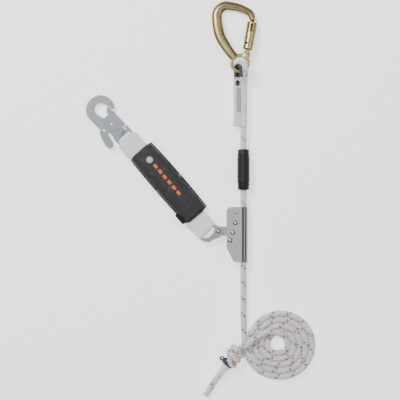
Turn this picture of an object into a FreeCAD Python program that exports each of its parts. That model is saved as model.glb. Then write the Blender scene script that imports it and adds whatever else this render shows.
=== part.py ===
"""Guided rope grab on a 12 mm lifeline, with carabiner, energy absorber and snap hook.

Millimetres, +Z up. The set lies flat on the surface z = 0. The lifeline runs along Y, the
carabiner is at its +Y end, and the absorber and the snap hook lie to the left (-X).
"""

import FreeCAD, Part
import math
import os

import Sketcher
from FreeCAD import Placement, Rotation, Vector

SIZES = {
    "rope_diameter": 12.0,
    "rope_height": 12.2,
    "rope_line_x": 140.3,
    "sleeve_wall": 1.5,
    "sleeve_length": 91.6,
    "label_width": 8.0,
    "label_length": 46.6,
    "label_thickness": 0.4,
    "disc_length": 12.0,
    "disc_width": 9.0,
    "stop_bore": 6.1,
    "stop_core_radius": 11.0,
    "stop_core_length": 78.6,
    "stop_cover_radius": 12.2,
    "stop_cover_length": 50.3,
    "stop_band_width": 3.0,
    "eye_bore": 12.4,
    "eye_rim": 19.5,
    "eye_thickness": 7.4,
    "carabiner_width": 17.0,
    "carabiner_thickness": 12.6,
    "carabiner_tilt": 5.2,
    "gate_pin_radius": 2.0,
    "gate_stem_radius": 6.3,
    "gate_stem_length": 51.6,
    "lock_outer_radius": 10.15,
    "lock_inner_radius": 7.45,
    "lock_length": 53.6,
    "guide_pin_radius": 1.4,
    "guide_pin_length": 9.4,
    "sheet_thickness": 2.0,
    "channel_inner_radius": 6.7,
    "grab_length": 107.0,
    "rivet_shank": 2.6,
    "pivot_shank": 3.0,
    "rivet_head": 4.75,
    "rivet_dome": 2.3,
    "spacer_radius": 3.9,
    "washer_radius": 6.0,
    "washer_thickness": 0.8,
    "cam_thickness": 11.2,
    "arm_thickness": 5.0,
    "ring_thickness": 3.2,
    "ring_height": 16.5,
    "webbing_width": 45.0,
    "webbing_thickness": 5.2,
    "strap_neck_width": 26.4,
    "strap_end_width": 42.4,
    "cover_length": 174.0,
    "cover_thickness": 24.0,
    "cover_rounding": 8.0,
    "tunnel_width": 46.0,
    "tunnel_height": 19.0,
    "pack_length": 150.0,
    "pack_width": 44.0,
    "pack_height": 17.6,
    "badge_radius": 6.5,
    "print_thickness": 0.5,
    "hook_height": 7.2,
    "hook_plate": 7.0,
    "hook_flange": 1.4,
    "hook_flange_gap": 0.2,
    "hook_rivet": 2.2,
    "hook_rivet_head": 3.6,
    "hook_rivet_dome": 1.0,
    "coil_radius": 67.5,
    "coil_hole": 12.2,
    "knot_radius": 17.4,
    "knot_length": 34.0,
    "tie_radius": 1.4,
    "stitch_radius": 0.33,
}

UP = Vector(0, 0, 1)
ALONG_LINE = Vector(0, 1, 0)

document = FreeCAD.newDocument("rope_grab")
sheet = document.addObject("Spreadsheet::Sheet", "sizes")
nodes = []


def fill_sheet():
    """Write each driving size into the sheet, under its own alias."""
    for row, (alias, value) in enumerate(SIZES.items(), 1):
        sheet.set(f"A{row}", alias)
        sheet.set(f"B{row}", str(value))
        sheet.setAlias(f"B{row}", alias)
    document.recompute()


def size(alias):
    """The value of one driving size, read from the sheet."""
    return float(getattr(sheet, alias))


fill_sheet()

ROPE_RADIUS = size("rope_diameter") / 2
LINE_X = size("rope_line_x")
LINE_Z = size("rope_height")


# ---------------------------------------------------------------- frames of the sub-assemblies

def frame_at(x, y, z, turn=0.0, tilt=0.0):
    """A frame at a point, turned about Z and then tilted about its own X."""
    return Placement(Vector(x, y, z), Rotation(UP, turn) * Rotation(Vector(1, 0, 0), tilt))


CARABINER = frame_at(133.5, 132.2, 18.0, 0, -size("carabiner_tilt"))
GATE_PIVOT = Vector(14.0, 21.8, 0)
GATE_ANGLE = 80.33
GATE = CARABINER * Placement(GATE_PIVOT, Rotation(UP, GATE_ANGLE))
CAM_PIVOT = Vector(119.2, -195.4, LINE_Z)
RING_RIVET = Vector(91.7, -193.1, 0)
RING = frame_at(68.5, -191.0, size("ring_height"), -45.0)
COVER = frame_at(-5.05, -99.95, 12.2, -49.1)
HOOK = frame_at(-137.8, 43.1, size("hook_height"), -46.4)
HOOK_GATE_PIVOT = Vector(37.6, -3.8, 0)
HOOK_LEVER_PIVOT = Vector(36.0, -23.0, 0)
HOOK_STOP = Vector(60.9, 8.8, 0)
HOOK_BAR = 78.2
LOOP_TILT = 34.0
LOOP_CENTRE = Vector(135.0, 118.3, 19.9)
LOOP_RADIUS = 14.2
COIL_CENTRE = Vector(212.8, -414.8, 0)
COIL_HOLE_CENTRE = Vector(208.0, -410.7, 0)
KNOT_CENTRE = Vector(121.2, -434.9, 17.7)
KNOT_AXIS = Vector(-0.62, -0.785, 0)


# ---------------------------------------------------------------- outlines and bodies

def line(start, end):
    return Part.LineSegment(start, end)


def rounded(corners):
    """Edges of a closed outline. Each corner is (x, y) or (x, y, radius of its round).

    A round that has no room takes a little under half of its shorter side.
    """
    edges = []
    ends = []
    count = len(corners)
    points = [Vector(c[0], c[1], 0) for c in corners]
    for i, corner in enumerate(corners):
        here = points[i]
        radius = corner[2] if len(corner) > 2 else 0.0
        back = (points[i - 1] - here).normalize()
        ahead = (points[(i + 1) % count] - here).normalize()
        if radius <= 0:
            ends.append((here, here, None))
            continue
        half = back.getAngle(ahead) / 2
        shorter = min(here.distanceToPoint(points[i - 1]), here.distanceToPoint(points[(i + 1) % count]))
        reach = min(radius / math.tan(half), 0.48 * shorter)
        radius = reach * math.tan(half)
        middle = (back + ahead).normalize() * (radius / math.sin(half) - radius)
        ends.append((here + back * reach, here + ahead * reach, here + middle))
    for i in range(count):
        enter, leave, middle = ends[i]
        if middle is not None:
            edges.append(Part.Arc(enter, middle, leave))
        following = ends[(i + 1) % count][0]
        if leave.distanceToPoint(following) > 1e-6:
            edges.append(line(leave, following))
    return edges


def circle(x, y, radius):
    return [Part.Circle(Vector(x, y, 0), UP, radius)]


def new_body(label, place=Placement()):
    body = document.addObject("PartDesign::Body", label)
    body.Label = label
    body.Placement = place
    nodes.append(body)
    return body


def sketch_in(body, edges, role="XY_Plane"):
    """A sketch on one of the body's own origin planes."""
    sketch = body.newObject("Sketcher::SketchObject", body.Name + "_sketch")
    plane = next(f for f in body.Origin.OriginFeatures if f.Role == role)
    sketch.AttachmentSupport = [(plane, "")]
    sketch.MapMode = "FlatFace"
    sketch.addGeometry(edges, False)
    return sketch


def bind_radius(sketch, curve, alias):
    """Hold one circle of a sketch to a cell of the sheet."""
    number = sketch.addConstraint(Sketcher.Constraint("Radius", curve, size(alias)))
    sketch.setExpression(f"Constraints[{number}]", f"sizes.{alias}")


def add_pad(body, edges, length, role="XY_Plane"):
    """Pad an outline evenly to both sides of its plane. The length is a sheet expression."""
    pad = body.newObject("PartDesign::Pad", body.Name + "_pad")
    pad.Profile = sketch_in(body, edges, role)
    pad.SideType = "Symmetric"
    pad.setExpression("Length", length)
    document.recompute()
    return pad


def add_pocket(body, edges, role="XY_Plane", length=None):
    """Pocket an outline to both sides of its plane, and make sure that it takes material."""
    before = body.Shape.Volume
    pocket = body.newObject("PartDesign::Pocket", body.Name + "_pocket")
    pocket.Profile = sketch_in(body, edges, role)
    pocket.SideType = "Symmetric"
    pocket.Length = 400
    if length is not None:
        pocket.setExpression("Length", length)
    document.recompute()
    if body.Shape.Volume > before - 1e-3:
        raise RuntimeError(f"a pocket in {body.Label} cuts nothing")
    return pocket


def add_fillet(body, edge_names, radius):
    solid = body.Tip
    fillet = body.newObject("PartDesign::Fillet", body.Name + "_fillet")
    fillet.Base = (solid, edge_names)
    fillet.setExpression("Radius", radius)
    document.recompute()
    return fillet


def flat_edges(shape):
    """Names of the edges that lie in the top or bottom face of a padded plate."""
    low, high = shape.BoundBox.ZMin, shape.BoundBox.ZMax
    names = []
    for i, edge in enumerate(shape.Edges, 1):
        box = edge.BoundBox
        if box.ZLength < 1e-6 and min(abs(box.ZMin - low), abs(box.ZMin - high)) < 1e-6:
            names.append(f"Edge{i}")
    return names


def plate(label, place, edges, thickness, holes=(), edge_round=None):
    """A flat plate about its frame's XY plane, with holes and eased edges."""
    body = new_body(label, place)
    add_pad(body, edges, thickness)
    if edge_round:
        body.Placement = Placement()
        add_fillet(body, flat_edges(body.Shape), edge_round)
        body.Placement = place
        document.recompute()
    for hole in holes:
        add_pocket(body, hole)
    return body


def revolved(label, place, edges):
    """A solid turned about its frame's Z axis from a half section in X and Z."""
    body = new_body(label, place)
    turn = body.newObject("PartDesign::Revolution", label + "_turn")
    sketch = sketch_in(body, edges, "XZ_Plane")
    turn.Profile = sketch
    turn.ReferenceAxis = (sketch, ["V_Axis"])
    turn.Angle = 360
    document.recompute()
    return body


def tube(label, place, inner, outer, length):
    """A straight tube about its frame's Z axis, with its radii and length from the sheet."""
    body = new_body(label, place)
    pad = body.newObject("PartDesign::Pad", label + "_pad")
    sketch = sketch_in(body, circle(0, 0, size(inner)) + circle(0, 0, size(outer)))
    bind_radius(sketch, 0, inner)
    bind_radius(sketch, 1, outer)
    pad.Profile = sketch
    pad.SideType = "Symmetric"
    pad.setExpression("Length", f"sizes.{length}")
    document.recompute()
    return body


def rod(label, place, radius, length):
    """A plain pin about its frame's Z axis. Radius and length are sheet expressions."""
    pin = document.addObject("Part::Cylinder", label)
    pin.Label = label
    pin.setExpression("Radius", radius)
    pin.setExpression("Height", length)
    pin.Placement = place
    nodes.append(pin)
    return pin


def rivet_section(shank, grip, head, dome):
    """Half section of a rivet with two domed heads, about the Z axis."""
    ball = (head * head + dome * dome) / (2 * dome)
    lean = math.asin(head / ball) / 2
    shoulder_x = ball * math.sin(lean)
    shoulder_z = grip / 2 + dome - ball * (1 - math.cos(lean))
    top = Vector(0, grip / 2 + dome, 0)
    bottom = Vector(0, -grip / 2 - dome, 0)
    return [
        line(bottom, top),
        Part.Arc(top, Vector(shoulder_x, shoulder_z, 0), Vector(head, grip / 2, 0)),
        line(Vector(head, grip / 2, 0), Vector(shank, grip / 2, 0)),
        line(Vector(shank, grip / 2, 0), Vector(shank, -grip / 2, 0)),
        line(Vector(shank, -grip / 2, 0), Vector(head, -grip / 2, 0)),
        Part.Arc(Vector(head, -grip / 2, 0), Vector(shoulder_x, -shoulder_z, 0), bottom),
    ]


def rivet(label, place, shank, grip, head, dome):
    return revolved(label, place, rivet_section(shank, grip, head, dome))


def group(label, members):
    """Several separate solids of one kind, kept as one node."""
    for member in members:
        nodes.remove(member)
    joined = document.addObject("Part::Compound", label)
    joined.Label = label
    joined.Links = members
    nodes.append(joined)
    return joined


def shaped(label, shape, place=Placement()):
    """A sub-part whose form only Part's own functions give."""
    feature = document.addObject("Part::Feature", label)
    feature.Label = label
    feature.Shape = shape
    feature.Placement = place
    nodes.append(feature)
    return feature


# ---------------------------------------------------------------- rope and wire

def route_edges(points, share=0.45, report=None):
    """Straight runs joined by tangent arcs. Each arc takes this share of its shorter run."""
    corners = []
    radii = []
    for i in range(1, len(points) - 1):
        back = points[i - 1] - points[i]
        ahead = points[i + 1] - points[i]
        reach = share * min(back.Length, ahead.Length)
        back.normalize()
        ahead.normalize()
        half = back.getAngle(ahead) / 2
        radius = reach * math.tan(half)
        radii.append(radius)
        bow = (back + ahead).normalize() * (radius / math.sin(half) - radius)
        corners.append((points[i] + back * reach, points[i] + bow, points[i] + ahead * reach))
    edges = []
    last = points[0]
    for enter, middle, leave in corners:
        if last.distanceToPoint(enter) > 1e-6:
            edges.append(line(last, enter).toShape())
        edges.append(Part.Arc(enter, middle, leave).toShape())
        last = leave
    edges.append(line(last, points[-1]).toShape())
    if report:
        print(report, "radii", [round(r, 1) for r in radii])
    return edges


def rope_solid(label, points, radius, share=0.45):
    """A round tube along a route. Its volume is checked against section times length."""
    spine = Part.Wire(route_edges(points, share, label))
    ring = Part.Wire([Part.Circle(points[0], points[1] - points[0], radius).toShape()])
    solid = spine.makePipeShell([ring], True, False)
    expected = math.pi * radius * radius * spine.Length
    print(label, "length", round(spine.Length, 1), "volume ratio", round(solid.Volume / expected, 4))
    return solid


def coil_spring(label, place, radius, wire_radius, length, turns):
    """A round wire spring about its frame's Z axis."""
    path = Part.Wire(Part.makeHelix(length / turns, length, radius).Edges)
    section = Part.Circle(Vector(radius, 0, 0), ALONG_LINE, wire_radius).toShape()
    return shaped(label, path.makePipeShell([Part.Wire([section])], True, True), place)


def wound_spring(label, place, inner, wire, turns):
    """A close-wound spring about its frame's Z axis: a plain bore, and one bump for each turn."""
    valley = inner + 0.7 * wire
    crest = inner + wire
    height = turns * wire
    edges = [line(Vector(inner, height, 0), Vector(inner, 0, 0)),
             line(Vector(inner, 0, 0), Vector(valley, 0, 0))]
    for i in range(turns):
        low, high = i * wire, (i + 1) * wire
        edges.append(Part.Arc(Vector(valley, low, 0), Vector(crest, (low + high) / 2, 0), Vector(valley, high, 0)))
    edges.append(line(Vector(valley, height, 0), Vector(inner, height, 0)))
    return revolved(label, place, edges)


# ---------------------------------------------------------------- the rope eye

LEG_LEFT_X = 128.1
SLEEVE_LOW = 9.75
SLEEVE_HIGH = SLEEVE_LOW + size("sleeve_length")
LEG_SPREAD_X = LOOP_RADIUS * math.sin(math.radians(LOOP_TILT))
LEG_SPREAD_Z = LOOP_RADIUS * math.cos(math.radians(LOOP_TILT))


def loop_point(side, y):
    """A point on the left (-1) or right (+1) leg of the eye, in the tilted plane of the loop."""
    return Vector(LOOP_CENTRE.x + side * LEG_SPREAD_X, y, LOOP_CENTRE.z + side * LEG_SPREAD_Z)


def eye_route():
    crest = LOOP_CENTRE.y + LOOP_RADIUS
    return [
        Vector(LEG_LEFT_X, SLEEVE_LOW, LINE_Z),
        Vector(LEG_LEFT_X, SLEEVE_HIGH - 2, LINE_Z),
        loop_point(-1, SLEEVE_HIGH + 11),
        loop_point(-1, crest),
        loop_point(1, crest),
        loop_point(1, SLEEVE_HIGH + 13),
        Vector(LINE_X, SLEEVE_HIGH - 5, LINE_Z),
        Vector(LINE_X, SLEEVE_LOW, LINE_Z),
    ]


def make_rope_eye():
    shaped("rope_eye", rope_solid("rope_eye", eye_route(), ROPE_RADIUS))


def make_thimble():
    """Plastic channel inside the loop: its floor faces the carabiner, its flanges hold the rope."""
    floor, flange = 6.25, 12.6
    crown = LOOP_CENTRE.y
    foot = SLEEVE_HIGH + 4.5
    turn = Placement(LOOP_CENTRE, Rotation(ALONG_LINE, LOOP_TILT - 90))
    depth = foot - crown

    def arch(radius):
        side = Vector(radius, 0, 0)
        return [
            line(Vector(-radius, depth, 0), Vector(-radius, 0, 0)).toShape(),
            Part.Arc(-side, Vector(0, radius, 0), side).toShape(),
            line(Vector(radius, 0, 0), Vector(radius, depth, 0)).toShape(),
            line(Vector(radius, depth, 0), Vector(-radius, depth, 0)).toShape(),
        ]

    width = 15.6
    outer = Part.Face(Part.Wire(arch(flange))).extrude(Vector(0, 0, width))
    inner = Part.Face(Part.Wire(arch(floor))).extrude(Vector(0, 0, width))
    channel = outer.cut(inner)
    channel.translate(Vector(0, 0, -width / 2))
    channel.Placement = turn * channel.Placement
    groove = rope_solid("thimble groove", eye_route(), ROPE_RADIUS + 0.05)
    solid = channel.cut(groove).cut(eye_clearance())
    largest = max(solid.Solids, key=lambda s: s.Volume)
    shaped("thimble", largest)


def eye_clearance():
    """The room that the carabiner's captive eye takes as it swings, with a little air round it."""
    air = 0.4
    half = size("eye_thickness") / 2 + air
    room = Part.makeCylinder(size("eye_rim") + air, 2 * half, UP * -half, UP)
    room = room.cut(Part.makeCylinder(size("eye_bore") - air, 2 * half, UP * -half, UP))
    room.Placement = CARABINER
    return room


def make_shrink_sleeve():
    """Pale sleeve shrunk over both strands, open at both ends, opening out where they part."""
    middle_x = (LEG_LEFT_X + LINE_X) / 2
    half_gap = (LINE_X - LEG_LEFT_X) / 2
    middle_y = (SLEEVE_LOW + SLEEVE_HIGH) / 2
    place = Placement(Vector(middle_x, middle_y, LINE_Z), Rotation(Vector(1, 0, 0), 90))

    def stadium(radius):
        top, right = Vector(0, radius, 0), Vector(half_gap, 0, 0)
        return [
            Part.Arc(right - top, right + Vector(radius, 0, 0), right + top),
            line(right + top, top - right),
            Part.Arc(top - right, -right - Vector(radius, 0, 0), -right - top),
            line(-right - top, right - top),
        ]

    inner = ROPE_RADIUS + 0.05
    outer = inner + size("sleeve_wall")

    def block(radius, length):
        solid = Part.Face(Part.Wire([e.toShape() for e in stadium(radius)])).extrude(UP * length)
        solid.Placement = place * Placement(UP * (-length / 2), Rotation())
        return solid

    full = size("sleeve_length")
    clip = Part.makeBox(80, full, 80, Vector(middle_x - 40, SLEEVE_LOW, -20))
    skin = rope_solid("sleeve skin", eye_route(), outer).common(clip)
    strands = rope_solid("sleeve bore", eye_route(), inner)
    solid = block(outer, full).fuse(skin).cut(block(inner, full + 2)).cut(strands)
    shaped("shrink_sleeve", max(solid.Solids, key=lambda s: s.Volume))


def sleeve_top():
    return LINE_Z + ROPE_RADIUS + 0.05 + size("sleeve_wall")


def make_sleeve_label():
    label = document.addObject("Part::Box", "sleeve_label")
    label.Label = "sleeve_label"
    label.setExpression("Length", "sizes.label_width")
    label.setExpression("Width", "sizes.label_length")
    label.setExpression("Height", "sizes.label_thickness")
    label.Placement = frame_at(127.6, 38.6, sleeve_top() + 0.02)
    nodes.append(label)


def make_sleeve_disc():
    """Small dark oval button at the top of the sleeve."""
    button = document.addObject("Part::Ellipsoid", "disc_form")
    button.setExpression("Radius1", "sizes.label_thickness * 3")
    button.setExpression("Radius2", "sizes.disc_length / 2")
    button.setExpression("Radius3", "sizes.disc_width / 2")
    button.Placement = frame_at(131.2, 93.6, sleeve_top() + 0.02, 90)
    upper = document.addObject("Part::Box", "disc_upper_space")
    upper.Length = 40
    upper.Width = 40
    upper.Height = 10
    upper.Placement = frame_at(131.2 - 20, 93.6 - 20, sleeve_top() + 0.02)
    disc = document.addObject("Part::Common", "sleeve_disc")
    disc.Label = "sleeve_disc"
    disc.Base = button
    disc.Tool = upper
    nodes.append(disc)


def make_eye_stitching():
    """Sewing between the two strands, under the sleeve: short bars of thread."""
    bars = []
    gap_x = (LEG_LEFT_X + LINE_X) / 2
    for i in range(8):
        y = SLEEVE_LOW + 14 + i * 9.0
        place = Placement(Vector(gap_x - 4, y, LINE_Z + ROPE_RADIUS - 0.9), Rotation(ALONG_LINE, 90))
        bar = rod(f"stitch_bar_{i}", place, "0.6 mm", "8 mm")
        bars.append(bar)
    group("eye_stitching", bars)


# ---------------------------------------------------------------- the end stop

def on_line(y):
    """A frame on the lifeline whose Z axis runs along the rope."""
    return Placement(Vector(LINE_X, y, LINE_Z), Rotation(Vector(1, 0, 0), 90))


STOP_MIDDLE = -73.6


def make_stop():
    tube("stop_core", on_line(STOP_MIDDLE), "stop_bore", "stop_core_radius", "stop_core_length")
    cover = new_body("stop_cover", on_line(STOP_MIDDLE - 0.35))
    inner = size("stop_core_radius") + 0.02
    edges = circle(0, 0, inner) + circle(0, 0, size("stop_cover_radius"))
    add_pad(cover, edges, "sizes.stop_cover_length")
    bands = []
    for name, y in (("upper", -45.0), ("lower", -102.6)):
        band = new_body(f"stop_band_{name}", on_line(y))
        add_pad(band, circle(0, 0, inner) + circle(0, 0, inner + 0.6), "sizes.stop_band_width")
        bands.append(band)
    group("stop_bands", bands)


# ---------------------------------------------------------------- the free rope

# Straight through the grab, then down to the surface and into the outer turn of the coil.
LIFELINE_ROUTE = [
    (140.3, 9.75, 12.2),
    (140.3, -345.0, 12.2),
    (140.6, -366.0, 10.4),
    (141.4, -386.0, 7.2),
    (142.0, -404.0, 6.2),
    (143.6, -420.0, 6.1),
    (148.5, -436.0, 6.1),
]

# Up out of the innermost turn, over the coil and over the straight rope, into the knot.
CROSSING_ROUTE = [
    (225.5, -406.0, 7.0),
    (218.0, -394.0, 11.5),
    (203.0, -388.5, 17.6),
    (185.0, -388.5, 18.4),
    (166.0, -396.5, 18.4),
    (150.0, -410.5, 18.4),
    (134.5, -422.0, 18.0),
]

# Out of the knot and down to the surface.
TAIL_ROUTE = [
    (111.5, -447.6, 14.6),
    (101.0, -461.8, 11.4),
    (89.2, -478.0, 7.9),
    (78.0, -495.0, 6.3),
    (66.6, -513.4, 6.1),
]


def vectors(points):
    return [Vector(*p) for p in points]


def make_free_rope():
    shaped("lifeline_rope", rope_solid("lifeline_rope", vectors(LIFELINE_ROUTE), ROPE_RADIUS))
    shaped("rope_crossing", rope_solid("rope_crossing", vectors(CROSSING_ROUTE), ROPE_RADIUS))
    shaped("rope_tail", rope_solid("rope_tail", vectors(TAIL_ROUTE), ROPE_RADIUS))


def make_coil():
    """The flat coil as one ring-shaped solid, its hole a little off centre."""
    half = ROPE_RADIUS
    place = frame_at(COIL_CENTRE.x, COIL_CENTRE.y, half + 0.05)
    body = new_body("rope_coil", place)
    offset = COIL_HOLE_CENTRE - COIL_CENTRE
    pad = body.newObject("PartDesign::Pad", "rope_coil_pad")
    sketch = sketch_in(body, circle(0, 0, size("coil_radius"))
                       + circle(offset.x, offset.y, size("coil_hole")))
    bind_radius(sketch, 0, "coil_radius")
    bind_radius(sketch, 1, "coil_hole")
    pad.Profile = sketch
    pad.SideType = "Symmetric"
    pad.setExpression("Length", "sizes.rope_diameter")
    document.recompute()


def make_knot():
    """The stopper knot as a plain barrel about the line of the rope."""
    radius, half = size("knot_radius"), size("knot_length") / 2
    shoulder = half * 0.45
    bulge = radius * 0.93
    corner = radius * 0.62
    edges = [
        line(Vector(0, -half, 0), Vector(0, half, 0)),
        line(Vector(0, half, 0), Vector(corner, half, 0)),
        Part.Arc(Vector(corner, half, 0), Vector(bulge * 0.93, half * 0.82, 0),
                 Vector(bulge, shoulder, 0)),
        Part.Arc(Vector(bulge, shoulder, 0), Vector(radius, 0, 0), Vector(bulge, -shoulder, 0)),
        Part.Arc(Vector(bulge, -shoulder, 0), Vector(bulge * 0.93, -half * 0.82, 0),
                 Vector(corner, -half, 0)),
        line(Vector(corner, -half, 0), Vector(0, -half, 0)),
    ]
    revolved("stopper_knot", Placement(KNOT_CENTRE, Rotation(UP, KNOT_AXIS)), edges)


def make_tail_sleeve():
    """Tapered sleeve over the tail, just below the knot."""
    start, end = Vector(*TAIL_ROUTE[0]), Vector(*TAIL_ROUTE[2])
    axis = end - start
    base = start + axis * 0.06
    length = axis.Length * 0.66
    direction = Vector(axis).normalize()
    cone = Part.makeCone(10.3, 7.4, length, base, direction)
    bore = Part.makeCylinder(ROPE_RADIUS + 0.2, length + 2, base - direction, direction)
    shaped("tail_sleeve", cone.cut(bore))


def make_knot_tie():
    """Dark cord tied round the tail where it leaves the knot, with a small loop standing out."""
    wire = size("tie_radius")
    start, end = Vector(*TAIL_ROUTE[0]), Vector(*TAIL_ROUTE[2])
    direction = (end - start).normalize()
    centre = start + direction * 1.4
    hoop = Part.makeTorus(10.6, wire, centre, direction)
    side = direction.cross(UP).normalize()
    loop_centre = centre + side * (10.6 + 3.8) + UP * 2.0
    loop = Part.makeTorus(3.4, wire * 0.9, loop_centre, UP)
    shaped("knot_tie", hoop.fuse(loop))


# ---------------------------------------------------------------- the carabiner

# Centre line of the bar: from the nose, over the top, down the spine to the eye.
CARABINER_LINE = [
    (24.6, 87.0), (20.5, 99.5), (-1.0, 110.0), (-31.0, 114.8),
    (-45.2, 101.0), (-44.2, 78.0), (-39.0, 52.0), (-22.0, 25.0), (-11.0, 11.0),
]


def bar_section(at, along, width, thickness):
    """An oval section across the bar, its long way in the plane of the carabiner."""
    across = along.cross(UP).normalize()
    long_half, short_half = width / 2, thickness / 2
    if long_half >= short_half:
        oval = Part.Ellipse(at + across * long_half, at + UP * short_half, at)
    else:
        oval = Part.Ellipse(at + UP * short_half, at + across * long_half, at)
    return Part.Wire([oval.toShape()])


def eye_ring():
    """The captive eye: a flat ring with rounded rims, turned about its own axis."""
    inner, outer = size("eye_bore"), size("eye_rim")
    half = size("eye_thickness") / 2
    corners = [(inner, -half, 2.4), (outer, -half, 2.4), (outer, half, 2.4), (inner, half, 2.4)]
    wire = Part.Wire([e.toShape() for e in rounded(corners)])
    face = Part.Face(wire)
    face.rotate(Vector(), Vector(1, 0, 0), 90)
    return face.revolve(Vector(), UP, 360)


def gate_space():
    """The slot between the two ears that hold the gate, open towards the gate."""
    slot = Part.makeBox(30, 40, 5.0, Vector(-5.4, -20, -2.5))
    slot.Placement = Placement(GATE_PIVOT, Rotation(UP, GATE_ANGLE)) * slot.Placement
    return slot


def nose_slot():
    """Slot in the nose that takes the head of the gate, open to the inside and downwards."""
    slot = Part.makeBox(11.0, 24.0, 5.2, Vector(59.5, -5.8, -2.6))
    slot.Placement = Placement(GATE_PIVOT, Rotation(UP, GATE_ANGLE)) * slot.Placement
    return slot


def make_carabiner_frame():
    points = [Vector(x, y, 0) for x, y in CARABINER_LINE]
    spine = Part.Wire(route_edges(points))
    width, thickness = size("carabiner_width"), size("carabiner_thickness")
    start = bar_section(points[0], points[1] - points[0], 12.5, 11.0)
    arm = bar_section((points[1] + points[2]) / 2, points[2] - points[1], 15.0, 12.0)
    top = bar_section((points[2] + points[3]) / 2, points[3] - points[2], width + 0.5, thickness)
    root = bar_section(points[-1], points[-1] - points[-2], width, thickness)
    maker = Part.BRepOffsetAPI.MakePipeShell(spine)
    maker.setFrenetMode(False)
    for section in (start, arm, top, root):
        maker.add(section, False, True)
    maker.build()
    maker.makeSolid()
    bar = maker.shape()
    print("carabiner bar volume", round(bar.Volume))
    neck_line = Part.Wire([line(Vector(9.0, 11.0, 0), Vector(13.4, 21.0, 0)).toShape()])
    neck_start = bar_section(Vector(9.0, 11.0, 0), Vector(4.4, 10.0, 0), 15.0, 10.0)
    neck = neck_line.makePipeShell([neck_start], True, False)
    ear = Part.makeCylinder(5.0, 11.6, GATE_PIVOT - UP * 5.8, UP)
    nose_tip = Part.makeSphere(5.6, points[0])
    solid = bar.fuse([eye_ring(), neck, ear, nose_tip])
    solid = solid.cut(Part.makeCylinder(size("eye_bore"), 40, Vector(0, 0, -20), UP))
    solid = solid.cut(gate_space())
    solid = solid.cut(nose_slot())
    solid = solid.cut(Part.makeCylinder(size("gate_pin_radius") + 0.01, 30, GATE_PIVOT - UP * 15, UP))
    solid = solid.cut(plunger_bore(1.75, 9.0))
    shaped("carabiner_frame", max(solid.removeSplitter().Solids, key=lambda s: s.Volume), CARABINER)


PLUNGER_TOP = Vector(12.9, 16.2, 0)
PLUNGER_DOWN = Vector(-0.36, -0.93, 0)


def plunger_bore(radius, length):
    """Blind bore under the gate's root, for its plunger and spring."""
    return Part.makeCylinder(radius, length, PLUNGER_TOP - PLUNGER_DOWN, PLUNGER_DOWN)


def make_carabiner_insides():
    """Hinge pin of the gate, and the plunger and spring that close it."""
    rod("gate_pin", CARABINER * Placement(GATE_PIVOT - UP * 6.0, Rotation()),
        "sizes.gate_pin_radius", "12 mm")
    down = Rotation(UP, PLUNGER_DOWN)
    rod("gate_plunger", CARABINER * Placement(PLUNGER_TOP, down), "1.6 mm", "3 mm")
    spring_place = CARABINER * Placement(PLUNGER_TOP + PLUNGER_DOWN * 3.4, down)
    coil_spring("gate_spring", spring_place, 1.1, 0.25, 3.6, 5)


def along_gate(distance):
    """A frame on the gate's axis whose Z axis runs along the gate."""
    return GATE * Placement(Vector(distance, 0, 0), Rotation(Vector(0, 1, 0), 90))


def make_carabiner_gate():
    """Gate: a flat root on the pin, a round stem, and a headed catch for the nose."""
    radius = size("gate_stem_radius")
    stem = Part.makeCylinder(radius, size("gate_stem_length"), Vector(5.6, 0, 0), Vector(1, 0, 0))
    root = Part.makeCylinder(4.6, 4.4, Vector(0, 0, -2.2), UP)
    web = Part.makeBox(7.0, 8.4, 4.4, Vector(0, -4.2, -2.2))
    neck = Part.makeCylinder(2.0, 7.0, Vector(57.0, 0, 0), Vector(1, 0, 0))
    head = Part.makeBox(2.6, 8.0, 4.0, Vector(63.6, -4.0, -2.0))
    solid = stem.fuse([root, web, neck, head])
    solid = solid.cut(Part.makeCylinder(size("gate_pin_radius") + 0.06, 20, Vector(0, 0, -10), UP))
    solid = solid.cut(Part.makeCylinder(size("guide_pin_radius") + 0.01, 20, Vector(16, 0, -2), UP))
    shaped("carabiner_gate", solid.removeSplitter(), GATE)


def make_lock_sleeve():
    """Twist sleeve over the gate, with a window at the top and a slot for the guide pin."""
    outer, inner, length = size("lock_outer_radius"), size("lock_inner_radius"), size("lock_length")
    shell = Part.makeCylinder(outer, length).cut(Part.makeCylinder(inner, length))
    ends = [e for e in shell.Edges if abs(e.BoundBox.ZLength) < 1e-6 and e.BoundBox.XLength > 2 * outer - 1]
    shell = shell.makeFillet(1.0, ends)
    window = Part.makeBox(20, 5.4, 15.0, Vector(0, -2.7, length - 19.0))
    shell = shell.cut(window)
    slot = Part.makeCylinder(outer + 2, 3.4, Vector(0, 0, 8.7), UP, 112)
    slot.rotate(Vector(), UP, -101)
    shell = shell.cut(slot.cut(Part.makeCylinder(inner - 1, 3.4, Vector(0, 0, 8.7), UP)))
    # The sleeve's own X side faces up, where the window shows.
    facing = Rotation(UP, 180)
    shaped("lock_sleeve", shell, along_gate(5.7) * Placement(Vector(), facing))


def make_lock_insides():
    """Guide pin across the gate's stem, and the spring that turns the sleeve back."""
    rod("lock_guide_pin", GATE * Placement(Vector(16, 0, -1.9), Rotation()),
        "sizes.guide_pin_radius", "sizes.guide_pin_length + 1.9")
    coil_spring("lock_spring", along_gate(24.0), 6.88, 0.42, 30.0, 11)


# ---------------------------------------------------------------- the rope grab

CHEEK_RIVETS = [(124.9, -156.2), (124.3, -176.9), (114.2, -211.0)]


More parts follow.
